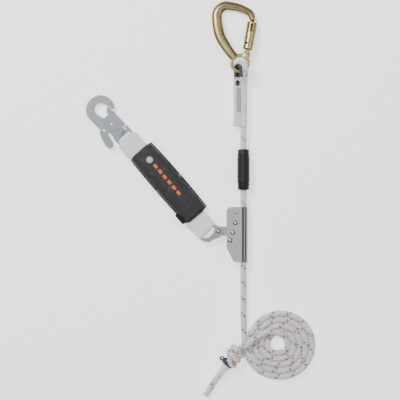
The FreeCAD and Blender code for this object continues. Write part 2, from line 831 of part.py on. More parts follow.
def make_grab_body():
    """One stainless sheet bent round the rope, its two cheeks running out to the left."""
    inner = size("channel_inner_radius")
    outer = inner + size("sheet_thickness")
    left = 107.5 - LINE_X
    body = new_body("grab_body", Placement(Vector(LINE_X, 0, LINE_Z), Rotation()))
    section = [
        line(Vector(left, outer, 0), Vector(0, outer, 0)),
        Part.Arc(Vector(0, outer, 0), Vector(outer, 0, 0), Vector(0, -outer, 0)),
        line(Vector(0, -outer, 0), Vector(left, -outer, 0)),
        line(Vector(left, -outer, 0), Vector(left, -inner, 0)),
        line(Vector(left, -inner, 0), Vector(0, -inner, 0)),
        Part.Arc(Vector(0, -inner, 0), Vector(inner, 0, 0), Vector(0, inner, 0)),
        line(Vector(0, inner, 0), Vector(left, inner, 0)),
        line(Vector(left, inner, 0), Vector(left, outer, 0)),
    ]
    pad = body.newObject("PartDesign::Pad", "grab_body_pad")
    sketch = sketch_in(body, section, "XZ_Plane")
    sketch.AttachmentOffset = Placement(Vector(0, 0, 199.6), Rotation())
    pad.Profile = sketch
    pad.SideType = "Symmetric"
    pad.setExpression("Length", "sizes.grab_length")
    document.recompute()
    low, high = -253.1, -146.1
    far = 60.0
    profile = [(left, high, 9.0), (far, high), (far, low), (124.0 - LINE_X, low, 6.0),
               (119.5 - LINE_X, low + 3.5, 6.0), (left, -226.0, 6.0)]
    surround = [(-90.0, high + 20), (far + 5, high + 20), (far + 5, low - 20), (-90.0, low - 20)]
    add_pocket(body, rounded(profile) + rounded(surround))
    for x, y in CHEEK_RIVETS:
        add_pocket(body, circle(x - LINE_X, y, size("rivet_shank") + 0.01))
    add_pocket(body, circle(CAM_PIVOT.x - LINE_X, CAM_PIVOT.y, size("pivot_shank") + 0.01))


def grab_grip():
    return 2 * (size("channel_inner_radius") + size("sheet_thickness"))


def make_grab_rivets():
    head, dome = size("rivet_head"), size("rivet_dome")
    made = []
    for i, (x, y) in enumerate(CHEEK_RIVETS):
        scale = 0.74 if i == 0 else 1.0
        place = frame_at(x, y, LINE_Z)
        made.append(rivet(f"cheek_rivet_{i}", place, size("rivet_shank"), grab_grip(),
                          head * scale, dome * scale))
    group("cheek_rivets", made)
    rivet("cam_pivot_rivet", frame_at(CAM_PIVOT.x, CAM_PIVOT.y, LINE_Z), size("pivot_shank"),
          grab_grip(), head, dome)


def make_cheek_spacers():
    """Tubes on the cheek rivets that keep the cheeks apart."""
    length = 2 * size("channel_inner_radius") - 0.04
    made = []
    for i, (x, y) in enumerate(CHEEK_RIVETS):
        spacer = new_body(f"cheek_spacer_{i}", frame_at(x, y, LINE_Z))
        edges = circle(0, 0, size("rivet_shank") + 0.02) + circle(0, 0, size("spacer_radius"))
        add_pad(spacer, edges, f"{length} mm")
        made.append(spacer)
    group("cheek_spacers", made)


def make_cam_washers():
    made = []
    offset = size("cam_thickness") / 2 + size("washer_thickness") / 2 + 0.08
    for name, side in (("lower", -1), ("upper", 1)):
        washer = new_body(f"cam_washer_{name}", frame_at(CAM_PIVOT.x, CAM_PIVOT.y, LINE_Z + side * offset))
        edges = circle(0, 0, size("pivot_shank") + 0.02) + circle(0, 0, size("washer_radius"))
        add_pad(washer, edges, "sizes.washer_thickness")
        made.append(washer)
    group("cam_washers", made)


def cam_outline():
    """Cam face in polar form about the pivot: it grows towards the side that bites, with teeth."""
    points = []
    steps = 30
    for i in range(steps + 1):
        angle = 62.0 - i * 124.0 / steps
        reach = 14.05 - 0.026 * angle - (0.55 if i % 2 else 0.0)
        points.append((reach * math.cos(math.radians(angle)), reach * math.sin(math.radians(angle))))
    return points + [(-2.5, -9.0, 3.0), (-7.5, -5.0, 2.5), (-7.5, 7.5, 2.5), (-1.5, 10.5, 4.0)]


def make_cam_lever():
    """Toothed cam on the pivot, with a flat arm that runs out between the cheeks."""
    body = new_body("cam_lever", Placement(CAM_PIVOT, Rotation()))
    add_pad(body, rounded(cam_outline()), "sizes.cam_thickness")
    arm_end = RING_RIVET.x - CAM_PIVOT.x
    arm_y = RING_RIVET.y - CAM_PIVOT.y
    half = 9.3
    arm = [(3.0, arm_y - half + 1.0, 2.0), (3.0, arm_y + half - 1.0, 2.0),
           (arm_end - 8.5, arm_y + half, 8.4), (arm_end - 8.5, arm_y - half, 8.4)]
    add_pad(body, rounded(arm), "sizes.arm_thickness")
    add_pocket(body, circle(0, 0, size("pivot_shank") + 0.06))
    add_pocket(body, circle(arm_end, arm_y, size("rivet_shank") + 0.01))


def make_cam_spring():
    """Light torsion spring, wound round the middle cheek spacer."""
    x, y = CHEEK_RIVETS[1]
    wound_spring("cam_spring", frame_at(x, y, LINE_Z - 4.5), 4.0, 0.9, 6)


def make_ring_rivet():
    """Rivet that joins the lever's arm to the ring: tight in the arm, free in the ring."""
    low = LINE_Z - size("arm_thickness") / 2
    high = size("ring_height") + size("ring_thickness") / 2 + 0.08
    rivet("ring_rivet", frame_at(RING_RIVET.x, RING_RIVET.y, (low + high) / 2), size("rivet_shank"),
          high - low, 4.5, 2.0)


def make_webbing_ring():
    """Flat ring: a rounded D with a neck for the rivet. Local X points away from the webbing."""
    outer = [(-3.0, -21.0, 4.0), (-3.0, 19.0, 4.0), (9.0, 20.5, 8.0), (14.0, 24.5, 5.0),
             (26.5, 22.5, 9.0), (28.0, 6.5, 9.0), (23.0, -2.5, 14.0), (21.0, -13.5, 9.0), (9.0, -21.0, 9.0)]
    inner = [(2.0, -15.5, 2.0), (2.0, 13.0, 2.0), (9.5, 13.0, 4.0), (13.0, 5.0, 5.0), (12.8, -7.0, 5.0),
             (7.0, -15.5, 5.0)]
    rivet_at = RING.inverse().multVec(Vector(RING_RIVET.x, RING_RIVET.y, size("ring_height")))
    hole = circle(rivet_at.x, rivet_at.y, size("rivet_shank") + 0.06)
    body = plate("webbing_ring", RING, rounded(outer), "sizes.ring_thickness",
                 [rounded(inner), hole], "0.9 mm")
    return body


# ---------------------------------------------------------------- webbing and absorber

def strap(label, bar_place, toward, cover_end, loop_inner, loop_outer, neck_from, neck_shift=0.0):
    """A strap looped round a bar and running into the cover's tunnel.

    Its frame's Y axis is the bar. The loop is narrower than the strap where it passes its slot,
    and the wide part is skewed a little, so that it meets the cover square.
    """
    neck = size("strap_neck_width")
    half = size("webbing_thickness") / 2
    to_bar_frame = bar_place.inverse() * COVER
    level = to_bar_frame.multVec(Vector()).z
    turn_in = toward * (neck_from + 3.0)
    hub_height = loop_outer * 0.96
    side = [(toward * 0.5, -hub_height), (turn_in, level - half), (turn_in, level + half),
            (toward * 0.5, hub_height)]
    wire = Part.makePolygon([Vector(x, 0, z) for x, z in side + side[:1]])
    near = Part.Face(wire).extrude(Vector(0, neck, 0))
    near.translate(Vector(0, neck_shift - neck / 2, 0))
    reach = size("webbing_width") / 2
    end_reach = size("strap_end_width") / 2
    wide = [Vector(toward * neck_from, -reach, 0), Vector(toward * neck_from, reach, 0),
            to_bar_frame.multVec(Vector(cover_end, end_reach, 0)),
            to_bar_frame.multVec(Vector(cover_end, -end_reach, 0))]
    plan = Part.makePolygon([Vector(p.x, p.y, level - half) for p in wide + wide[:1]])
    far = Part.Face(plan).extrude(UP * 2 * half)
    axis = Vector(0, 1, 0)
    hub = Part.makeCylinder(loop_outer, neck, Vector(0, neck_shift - neck / 2, 0), axis)
    bore = Part.makeCylinder(loop_inner, 2 * neck, Vector(0, -neck, 0), axis)
    solid = near.fuse([far, hub]).cut(bore).removeSplitter()
    shaped(label, solid, bar_place)


def make_webbing():
    end = size("pack_length") / 2 + 2.0
    ring_bar = RING * Placement(Vector(-0.5, 0, 0), Rotation())
    strap("lower_webbing", ring_bar, -1, end, 3.35, 5.3, 5.4, -1.25)
    hook_bar = HOOK * Placement(Vector(HOOK_BAR, -3.0, 0), Rotation())
    strap("upper_webbing", hook_bar, 1, -end, 4.75, 6.5, 6.8)


def cover_outline():
    """The cover's outline: widest in the middle, its four corners cut."""
    half = size("cover_length") / 2
    return [(-half, -20.0), (-half + 6, -26.0), (-30.0, -28.5, 60.0), (30.0, -28.5, 60.0), (half - 6, -26.0),
            (half, -20.0), (half, 20.0), (half - 6, 26.0), (30.0, 28.5, 60.0), (-30.0, 28.5, 60.0),
            (-half + 6, 26.0), (-half, 20.0)]


def make_absorber_cover():
    """Fabric cover: a flat sleeve, open at both ends for the webbing."""
    body = new_body("absorber_cover")
    add_pad(body, rounded(cover_outline()), "sizes.cover_thickness")
    add_fillet(body, flat_edges(body.Shape), "sizes.cover_rounding")
    half_width, half_height = size("tunnel_width") / 2, size("tunnel_height") / 2
    mouth = [(-half_width, -half_height, 6.0), (half_width, -half_height, 6.0),
             (half_width, half_height, 6.0), (-half_width, half_height, 6.0)]
    add_pocket(body, rounded(mouth), "YZ_Plane")
    body.Placement = COVER


def make_tear_pack():
    """Folded tear webbing inside the cover, as one block of its folds."""
    pack = document.addObject("Part::Box", "tear_pack_block")
    pack.setExpression("Length", "sizes.pack_length")
    pack.setExpression("Width", "sizes.pack_width")
    pack.setExpression("Height", "sizes.pack_height")
    pack.Placement = Placement(Vector(-size("pack_length") / 2, -size("pack_width") / 2,
                                      -size("pack_height") / 2), Rotation())
    document.recompute()
    rounded_pack = document.addObject("Part::Fillet", "tear_pack")
    rounded_pack.Base = pack
    long_edges = [(i, 4.0, 4.0) for i, e in enumerate(pack.Shape.Edges, 1)
                  if e.BoundBox.XLength > 10]
    rounded_pack.Edges = long_edges
    rounded_pack.Label = "tear_pack"
    rounded_pack.Placement = COVER
    nodes.append(rounded_pack)


def make_pack_stitching():
    """Rows of stitching across the end of each sewn webbing, on top of the tear pack."""
    bars = []
    top = size("pack_height") / 2
    for i, x in enumerate((-68.0, -62.0, -56.0, 56.0, 62.0, 68.0)):
        height = top + size("stitch_radius") + 0.01
        place = COVER * Placement(Vector(x, -16.0, height), Rotation(Vector(1, 0, 0), -90))
        bars.append(rod(f"pack_stitch_{i}", place, "sizes.stitch_radius", "32 mm"))
    group("pack_stitching", bars)


def make_cover_details():
    """Closing tab at the cover's lower left, its round badge and its printed stripe."""
    top = size("cover_thickness") / 2
    tab = [(54.0, -29.5, 2.0), (79.0, -29.5, 2.0), (79.0, -19.5, 2.0), (54.0, -19.5, 2.0)]
    body = new_body("cover_tab")
    add_pad(body, rounded(tab), "1.6 mm")
    body.Placement = COVER * Placement(Vector(0, 0, top + 0.85), Rotation())
    badge = new_body("cover_badge")
    sketch_pad = add_pad(badge, circle(-58.0, 2.0, size("badge_radius")), "sizes.print_thickness")
    bind_radius(sketch_pad.Profile[0], 0, "badge_radius")
    badge.Placement = COVER * Placement(Vector(0, 0, top + 0.27), Rotation())
    dashes = []
    for i in range(6):
        start = -46.0 + i * 13.6
        dash = new_body(f"stripe_dash_{i}")
        corners = [(start, -1.2, 1.5), (start + 10.4, -1.2, 1.5), (start + 10.4, 6.0, 1.5), (start, 6.0, 1.5)]
        add_pad(dash, rounded(corners), "sizes.print_thickness")
        dash.Placement = COVER * Placement(Vector(0, 0, top + 0.27), Rotation())
        dashes.append(dash)
    group("cover_stripe", dashes)


# ---------------------------------------------------------------- the snap hook

def around(x, y, radius, angles):
    """Corners of a polygon round a circle. Rounded by that radius, they give the circle."""
    reach = radius / math.cos(math.radians(15))
    turns = [math.radians(angle) for angle in angles]
    return [(x + reach * math.cos(t), y + reach * math.sin(t), radius) for t in turns]


def make_hook_body():
    """Forged hook: head and nose, a bay for the gate, a waist, and the slotted end."""
    nose = [(16.6, 22.6, 1.6)]
    head = around(0.0, 0.0, 28.3, range(75, 256, 30))
    back = [(27.0, -27.6, 9.0), (33.0, -29.0, 4.0), (42.5, -27.6, 5.0), (45.0, -17.0, 5.0), (52.0, -18.2, 9.0),
            (64.0, -21.5, 8.0), (81.0, -21.0, 5.0)]
    bay = [(81.0, 15.0, 5.0), (66.0, 16.8, 5.0), (56.5, 16.8, 1.5), (55.0, 3.5, 3.0), (40.0, 13.6, 10.0),
           (24.0, 7.4, 8.0), (18.6, -3.4, 4.0), (15.4, -7.6, 1.5)]
    mouth = around(0.5, 1.0, 12.0, range(275, 94, -30))
    tip = [(6.8, 17.6, 1.2), (15.4, 16.2, 0.8)]
    outline = nose + head + back + bay + mouth + tip
    place = HOOK
    slot = [(68.4, -16.8, 1.0), (75.45, -16.8, 1.0), (75.45, 10.8, 1.0), (68.4, 10.8, 1.0)]
    shank = size("hook_rivet") + 0.01
    holes = [rounded(slot)]
    for pivot in (HOOK_GATE_PIVOT, HOOK_LEVER_PIVOT, HOOK_STOP):
        holes.append(circle(pivot.x, pivot.y, shank))
    plate("hook_body", place, rounded(outline), "sizes.hook_plate", holes, "1.1 mm")


def make_hook_gate():
    """Sheet gate: two flanges over the hook body, a back web between them and a tongue in the mouth."""
    flange = [(17.4, -6.6, 1.0), (18.0, 16.4, 1.0), (53.4, 16.4, 2.0), (54.6, 4.0, 4.0), (49.0, -7.5, 8.0),
              (42.0, -15.0, 6.0), (30.0, -14.0, 8.0)]
    body = new_body("hook_gate")
    outer = size("hook_plate") + 2 * (size("hook_flange_gap") + size("hook_flange"))
    add_pad(body, rounded(flange), f"{outer} mm")
    gap = size("hook_plate") + 2 * size("hook_flange_gap")
    inside = [(12.0, -25.0), (12.0, 14.8), (60.0, 14.8), (60.0, -25.0)]
    add_pocket(body, rounded(inside), length=f"{gap} mm")
    tongue = [(4.6, 13.8, 1.0), (6.6, 16.2, 1.0), (16.0, 14.8, 0.5), (18.4, 16.2), (20.5, 16.2), (20.5, 9.5, 1.0),
              (13.6, 3.6, 2.0)]
    add_pad(body, rounded(tongue), "6.4 mm")
    add_pocket(body, circle(HOOK_GATE_PIVOT.x, HOOK_GATE_PIVOT.y, size("hook_rivet") + 0.06))
    body.Placement = HOOK


def make_hook_lever():
    """Sheet lever: two flanges over the hook body, joined by a ribbed thumb web on the outside."""
    flange = [(30.4, -31.6, 4.0), (29.4, -19.0, 4.0), (38.0, -17.6, 4.0), (45.5, -22.6, 5.0), (54.0, -24.6, 6.0),
              (63.0, -25.8, 5.0), (69.4, -31.0, 3.0), (68.6, -39.4, 4.0), (58.0, -41.2, 10.0), (44.0, -37.6, 10.0)]
    body = new_body("hook_lever")
    outer = size("hook_plate") + 2 * (size("hook_flange_gap") + size("hook_flange"))
    add_pad(body, rounded(flange), f"{outer} mm")
    gap = size("hook_plate") + 2 * size("hook_flange_gap")
    inside = [(26.0, -30.6), (26.0, -10.0), (74.0, -10.0), (74.0, -37.6), (58.0, -39.2), (44.0, -35.4)]
    add_pocket(body, rounded(inside), length=f"{gap} mm")
    for i in range(6):
        x = 49.0 + i * 3.2
        rib = [(x, -42.4), (x + 1.3, -42.4), (x + 1.3, -39.0), (x, -39.0)]
        add_pocket(body, rounded([(px, py - (57.0 - x) * -0.12) for px, py in rib]), length="8 mm")
    add_pocket(body, circle(HOOK_LEVER_PIVOT.x, HOOK_LEVER_PIVOT.y, size("hook_rivet") + 0.06))
    body.Placement = HOOK


def make_hook_rivets():
    head, dome = size("hook_rivet_head"), size("hook_rivet_dome")
    wide_grip = size("hook_plate") + 2 * (size("hook_flange_gap") + size("hook_flange")) + 0.1
    shank = size("hook_rivet")
    rivet("hook_gate_rivet", HOOK * Placement(HOOK_GATE_PIVOT, Rotation()), shank, wide_grip, head, dome)
    rivet("hook_lever_rivet", HOOK * Placement(HOOK_LEVER_PIVOT, Rotation()), shank, wide_grip, head, dome)
    rivet("hook_stop_rivet", HOOK * Placement(HOOK_STOP, Rotation()), shank, size("hook_plate"), 3.0, 0.8)


def make_hook_springs():
    """Gate spring in the bay behind the gate's web, and lever spring under the thumb web."""
    wound_spring("hook_gate_spring", HOOK * Placement(Vector(44.5, 12.6, -2.5), Rotation()), 0.7, 0.7, 7)
    wound_spring("hook_lever_spring", HOOK * Placement(Vector(52.0, -30.0, -2.6), Rotation()), 2.3, 1.0, 5)


# ---------------------------------------------------------------- build, check and write

def build():
    make_rope_eye()
    make_thimble()
    make_shrink_sleeve()
    make_sleeve_label()
    make_sleeve_disc()
    make_eye_stitching()
    make_stop()
    make_free_rope()
    make_coil()
    make_knot()
    make_tail_sleeve()
    make_knot_tie()
    make_carabiner_frame()
    make_carabiner_insides()
    make_carabiner_gate()
    make_lock_sleeve()
    make_lock_insides()
    make_grab_body()
    make_grab_rivets()
    make_cheek_spacers()
    make_cam_washers()
    make_cam_lever()
    make_cam_spring()
    make_ring_rivet()
    make_webbing_ring()
    make_webbing()
    make_absorber_cover()
    make_tear_pack()
    make_pack_stitching()
    make_cover_details()
    make_hook_body()
    make_hook_gate()
    make_hook_lever()
    make_hook_rivets()
    make_hook_springs()
    document.recompute()


def check():
    """Stop if any object has failed, or any sub-part has no sound shape."""
    for thing in document.Objects:
        if {"Invalid", "Error"} & set(thing.State):
            raise RuntimeError(f"{thing.Name} failed: {thing.State}")
    for node in nodes:
        if node.Shape.isNull() or not node.Shape.isValid() or not node.Shape.Solids:
            raise RuntimeError(f"{node.Label} has no sound shape")


def write():
    os.makedirs("parts", exist_ok=True)
    for node in nodes:
        node.Shape.exportStep(f"parts/{node.Label}.step")
    print(len(nodes), "nodes written")


build()
check()
write()
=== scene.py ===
# %% [markdown]
# # Rope grab on its lifeline
# The metal parts are already made to size. This script gives them their finish, and makes the
# soft pieces: the lifeline and its coil, the knot, the sleeve, the webbing and the cover of the
# energy absorber. Lengths are in metres.

# %% Load the metal parts
import bpy
import math
from mathutils import Matrix, Vector


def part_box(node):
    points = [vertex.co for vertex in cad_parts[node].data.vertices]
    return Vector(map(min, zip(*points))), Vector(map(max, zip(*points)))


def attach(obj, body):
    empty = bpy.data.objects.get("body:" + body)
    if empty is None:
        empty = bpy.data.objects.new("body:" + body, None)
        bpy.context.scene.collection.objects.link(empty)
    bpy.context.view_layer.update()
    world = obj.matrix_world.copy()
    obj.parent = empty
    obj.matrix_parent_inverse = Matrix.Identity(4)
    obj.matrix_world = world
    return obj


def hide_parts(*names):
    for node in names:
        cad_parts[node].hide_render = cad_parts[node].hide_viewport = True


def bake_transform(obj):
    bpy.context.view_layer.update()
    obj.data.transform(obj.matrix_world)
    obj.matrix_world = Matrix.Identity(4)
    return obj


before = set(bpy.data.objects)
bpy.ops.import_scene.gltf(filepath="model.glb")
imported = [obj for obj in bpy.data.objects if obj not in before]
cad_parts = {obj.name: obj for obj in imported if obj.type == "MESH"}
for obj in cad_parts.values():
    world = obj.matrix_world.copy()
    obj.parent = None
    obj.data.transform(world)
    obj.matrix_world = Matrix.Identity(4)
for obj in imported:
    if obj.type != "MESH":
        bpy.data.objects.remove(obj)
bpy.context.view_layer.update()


def mm(*values):
    """A point or length given in millimetres, in metres."""
    scaled = [v / 1000 for v in values]
    return scaled[0] if len(scaled) == 1 else Vector(scaled)


# %% [markdown]
# ## Camera
# The set lies flat and is seen from straight above, so the camera looks down with +Y upwards.
# A long lens from three metres keeps the edges upright, as a product shot does.

# %% Camera
VIEW_CENTRE = mm(55.9, -132.6, 0)
VIEW_WIDTH = 0.780
VIEW_HEIGHT = 3.0

camera_data = bpy.data.cameras.new("camera")
camera_data.sensor_width = 36
camera_data.lens = 36 * VIEW_HEIGHT / VIEW_WIDTH
camera_data.clip_end = 50
camera = bpy.data.objects.new("camera", camera_data)
camera.location = VIEW_CENTRE + Vector((0, 0, VIEW_HEIGHT))
bpy.context.scene.collection.objects.link(camera)
bpy.context.scene.camera = camera
print("lens", round(camera_data.lens, 1))

# %% [markdown]
# ## Shaders as plain expressions
# Every finish below is arithmetic on a few textures. A small class wraps a node socket, so that
# `a * b + 0.5` adds the math nodes itself. Colours are mixed by one call, and any other node is
# added by its type name.

# %% Shader helper


class Value:
    """One number in a shader. Arithmetic on it adds Math nodes."""

    def __init__(self, finish, socket):
        self.finish, self.socket = finish, socket

    def math(self, operation, *others, clamp=False):
        node = self.finish.tree.nodes.new("ShaderNodeMath")
        node.operation = operation
        node.use_clamp = clamp
        for slot, item in zip(node.inputs, (self, *others)):
            self.finish.put(slot, item)
        return Value(self.finish, node.outputs[0])

    def __add__(self, other): return self.math("ADD", other)
    def __radd__(self, other): return self.math("ADD", other)
    def __sub__(self, other): return self.math("SUBTRACT", other)
    def __rsub__(self, other): return self.math("MULTIPLY_ADD", -1.0, other)
    def __mul__(self, other): return self.math("MULTIPLY", other)
    def __rmul__(self, other): return self.math("MULTIPLY", other)
    def __truediv__(self, other): return self.math("DIVIDE", other)
    def __gt__(self, other): return self.math("GREATER_THAN", other)
    def __lt__(self, other): return self.math("LESS_THAN", other)

    def fract(self): return self.math("FRACT")
    def sin(self): return self.math("SINE")
    def abs(self): return self.math("ABSOLUTE")
    def clamp(self): return self.math("MAXIMUM", 0.0, clamp=True)
    def max(self, other): return self.math("MAXIMUM", other)

    def ramp(self, low, high):
        """0 below low and 1 above high, smooth between."""
        node = self.finish.tree.nodes.new("ShaderNodeMapRange")
        node.interpolation_type = "SMOOTHSTEP"
        for name, item in (("Value", self), ("From Min", low), ("From Max", high)):
            self.finish.put(node.inputs[name], item)
        return Value(self.finish, node.outputs["Result"])


class Finish:
    """A material with one Principled shader, built up by expressions."""

    def __init__(self, name, color, roughness=0.5, metallic=0.0, **settings):
        self.material = bpy.data.materials.new(name)
        self.material.use_nodes = True
        self.tree = self.material.node_tree
        self.shader = self.tree.nodes["Principled BSDF"]
        self.shader.inputs["Base Color"].default_value = (*color, 1)
        self.shader.inputs["Roughness"].default_value = roughness
        self.shader.inputs["Metallic"].default_value = metallic
        for key, number in settings.items():
            self.shader.inputs[key.replace("_", " ")].default_value = number
        self.material.diffuse_color = (*color, 1)

    def put(self, slot, item):
        if isinstance(item, Value):
            self.tree.links.new(item.socket, slot)
        elif isinstance(item, (tuple, list)) and len(item) == 3 and slot.type == "RGBA":
            slot.default_value = (*item, 1)
        else:
            slot.default_value = item

    def node(self, kind, output=0, settings=None, **inputs):
        """Any node by type name, with its settings and its sockets' values or links."""
        node = self.tree.nodes.new("ShaderNode" + kind)
        for key, setting in (settings or {}).items():
            setattr(node, key, setting)
        for key, item in inputs.items():
            self.put(node.inputs[key.replace("_", " ")], item)
        return Value(self, node.outputs[output])

    def place(self, which="Object"):
        """Position on the piece (Object) or its unwrapped map (UV), as x, y and z numbers."""
        vector = Value(self, self.tree.nodes.new("ShaderNodeTexCoord").outputs[which])
        split = self.tree.nodes.new("ShaderNodeSeparateXYZ")
        self.put(split.inputs[0], vector)
        return vector, [Value(self, out) for out in split.outputs]

    def noise(self, scale, detail=3.0, roughness=0.5, vector=None):
        vector = vector or self.place()[0]
        return self.node("TexNoise", 0, None, Vector=vector, Scale=scale, Detail=detail, Roughness=roughness)

    def stretched(self, x, y, z, vector=None):
        """The position with each axis scaled, for grain that runs one way."""
        vector = vector or self.place()[0]
        return self.node("Mapping", 0, None, Vector=vector, Scale=(x, y, z))

    def mix(self, factor, low, high):
        node = self.tree.nodes.new("ShaderNodeMix")
        node.data_type = "RGBA"
        self.put(node.inputs["Factor"], factor)
        for slot, item in ((node.inputs[6], low), (node.inputs[7], high)):
            self.put(slot, item)
        return Value(self, node.outputs[2])

    def color(self, item):
        self.put(self.shader.inputs["Base Color"], item)
        return self

    def roughness(self, item):
        self.put(self.shader.inputs["Roughness"], item)
        return self

    def bump(self, height, distance, strength=1.0):
        node = self.tree.nodes.new("ShaderNodeBump")
        node.inputs["Strength"].default_value = strength
        node.inputs["Distance"].default_value = distance
        self.put(node.inputs["Height"], height)
        self.tree.links.new(node.outputs[0], self.shader.inputs["Normal"])
        return self


print("shader helper ready")

# %% [markdown]
# ## The free rope
# The lifeline leaves the sleeve, runs straight through the grab, winds into a flat coil of
# almost five turns, and comes up over the coil and over itself into the stopper knot. One
# smooth NURBS curve carries the whole length. Its control points are the route, and the turns
# of the coil are more points on the same curve. A curve alone gives a plain tube, so the braided
# surface is a mesh that follows the points read back from it.

# %% Route of the rope
ROPE_RADIUS = 0.006
LIFELINE_ROUTE = [
    (140.3, 9.75, 12.2), (140.3, -345, 12.2), (140.6, -366, 10.4), (141.4, -386, 7.2),
    (142.0, -404, 6.2), (143.6, -420, 6.1), (148.5, -436, 6.1),
]
CROSSING_ROUTE = [
    (225.5, -406, 7.0), (218.0, -394, 11.5), (203.0, -388.5, 17.6), (185.0, -388.5, 18.4),
    (166.0, -396.5, 18.4), (150.0, -410.5, 18.4), (134.5, -422.0, 18.0),
]
TAIL_ROUTE = [
    (111.5, -447.6, 14.6), (101.0, -461.8, 11.4), (89.2, -478.0, 7.9), (78.0, -495.0, 6.3),
    (66.6, -513.4, 6.1),
]
COIL_CENTRE = (212.8, -414.8)
COIL_OUTER = 61.5
COIL_PITCH = 11.9
COIL_START = 213
COIL_END = 1800
POINTS_PER_TURN = 24
CURVE_CUTS_IN = 0.9915


def smooth(t):
    t = min(max(t, 0), 1)
    return t * t * (3 - 2 * t)


def coil_radius(angle):
    """Radius of the coil's line: steady, with one step inwards on the lower left of each turn."""
    radius = COIL_OUTER + 5.4 * (1 - smooth((angle - 200) / 70))
    steps = (angle - 535) / 360
    whole = math.floor(steps)
    if steps >= 0:
        radius -= COIL_PITCH * (whole + smooth((steps - whole) * 360 / 100))
    return radius


def coil_points():
    points = []
    step = 360 / POINTS_PER_TURN
    count = int((COIL_END - COIL_START) / step)
    for i in range(count + 1):
        angle = COIL_START + i * step
        radius = coil_radius(angle) / CURVE_CUTS_IN
        turn = math.radians(angle)
        x = COIL_CENTRE[0] + radius * math.cos(turn)
        y = COIL_CENTRE[1] + radius * math.sin(turn)
        points.append((x, y, 6.1))
    return points


print("coil radii", [round(coil_radius(a), 1) for a in (270, 540, 630, 990, 1350, 1710)])

# %% Smooth line from a route


def smooth_line(name, points):
    """A NURBS curve with the route's points as its control points, and the points along it."""
    curve = bpy.data.curves.new(name, "CURVE")
    curve.dimensions = "3D"
    spline = curve.splines.new("NURBS")
    spline.points.add(len(points) - 1)
    for point, place in zip(spline.points, points):
        point.co = (*mm(*place), 1)
    spline.order_u = 3
    spline.use_endpoint_u = True
    spline.resolution_u = 16
    holder = bpy.data.objects.new(name, curve)
    bpy.context.scene.collection.objects.link(holder)
    bpy.context.view_layer.update()
    mesh = bpy.data.meshes.new_from_object(holder)
    line = [v.co.copy() for v in mesh.vertices]
    bpy.data.objects.remove(holder)
    bpy.data.meshes.remove(mesh)
    return line


def even(line, spacing):
    """Points at an even spacing along a line, and its length."""
    marks = [0.0]
    for a, b in zip(line, line[1:]):
        marks.append(marks[-1] + (b - a).length)
    total = marks[-1]
    count = max(int(total / spacing), 2)
    found = []
    i = 0
    for k in range(count + 1):
        at = total * k / count
        while i < len(marks) - 2 and marks[i + 1] < at:
            i += 1
        span = max(marks[i + 1] - marks[i], 1e-9)
        found.append(line[i].lerp(line[i + 1], (at - marks[i]) / span))
    return found, total


# %% Tube that follows a line


def frames_along(path, up=Vector((0, 0, 1))):
    """Side and up directions at each point of a path, turned as little as possible."""
    tangents = []
    for i in range(len(path)):
        ahead = path[min(i + 1, len(path) - 1)] - path[max(i - 1, 0)]
        tangents.append(ahead.normalized())
    side = tangents[0].cross(up)
    if side.length < 1e-3:
        side = tangents[0].cross(Vector((1, 0, 0)))
    side.normalize()
    result = []
    for i, tangent in enumerate(tangents):
        side = (side - tangent * side.dot(tangent)).normalized()
        result.append((side, side.cross(tangent).normalized() * -1, tangent))
    return result


def tube_mesh(name, path, radius_at, around=36, closed_ends=True, spacing_v=None):
    """A tube of rings. radius_at(share of turn, distance, share of length) gives each point's radius."""
    frames = frames_along(path)
    verts = []
    faces = []
    distance = 0.0
    marks = []
    for i, (centre, (side, up, tangent)) in enumerate(zip(path, frames)):
        if i:
            distance += (centre - path[i - 1]).length
        marks.append(distance)
        for k in range(around):
            turn = 2 * math.pi * k / around
            radius = radius_at(k / around, distance, i / (len(path) - 1))
            verts.append(centre + side * (math.cos(turn) * radius) + up * (math.sin(turn) * radius))
    for i in range(len(path) - 1):
        for k in range(around):
            a, b = i * around + k, i * around + (k + 1) % around
            faces.append((a, b, b + around, a + around))
    if closed_ends:
        for ring, order in ((0, -1), (len(path) - 1, 1)):
            faces.append([ring * around + k for k in range(around)][::order])
    mesh = bpy.data.meshes.new(name)
    mesh.from_pydata(verts, [], faces)
    layer = mesh.uv_layers.new(name="map")
    for polygon in mesh.polygons:
        corners = list(polygon.loop_indices)
        wraps = len(corners) == 4 and any(v % around == 0 for v in polygon.vertices) \
            and any(v % around == around - 1 for v in polygon.vertices)
        for loop in corners:
            vertex = mesh.loops[loop].vertex_index
            share = (vertex % around) / around
            if wraps and share == 0:
                share = 1.0
            layer.data[loop].uv = (share, marks[vertex // around])
    mesh.polygons.foreach_set("use_smooth", [True] * len(mesh.polygons))
    mesh.update()
    return mesh


def add_piece(name, mesh, finish=None):
    piece = bpy.data.objects.new(name, mesh)
    bpy.context.scene.collection.objects.link(piece)
    if finish is not None:
        mesh.materials.clear()
        mesh.materials.append(finish.material)
    return piece


# %% [markdown]
# ### The braided sheath
# The sheath is woven from strands that run both ways round the rope. Real strands would be
# thousands of faces each. Two sets of crossing waves in the radius give the same lumps, and the
# finish adds the fine yarns, with painted shade in the grooves between strands. A few coloured
# tracer yarns come up once in each turn of the braid: grey above the grab, and red with a dark
# one beside it below.

# %% Sheath shape and finish
BRAID_STRANDS = 10
BRAID_PITCH = 0.0084
SHEATH_LIFT = 0.00017


def sheath(turn, distance, share):
    """Radius of the sheath where two sets of strands cross."""
    one = math.cos(2 * math.pi * (BRAID_STRANDS * turn + distance / BRAID_PITCH))
    other = math.cos(2 * math.pi * (BRAID_STRANDS * turn - distance / BRAID_PITCH))
    return ROPE_RADIUS - SHEATH_LIFT + SHEATH_LIFT * one * other


TRACER_PITCH = 0.031
TRACER_CHANGE = 0.255
DOT_PITCH = 0.0046


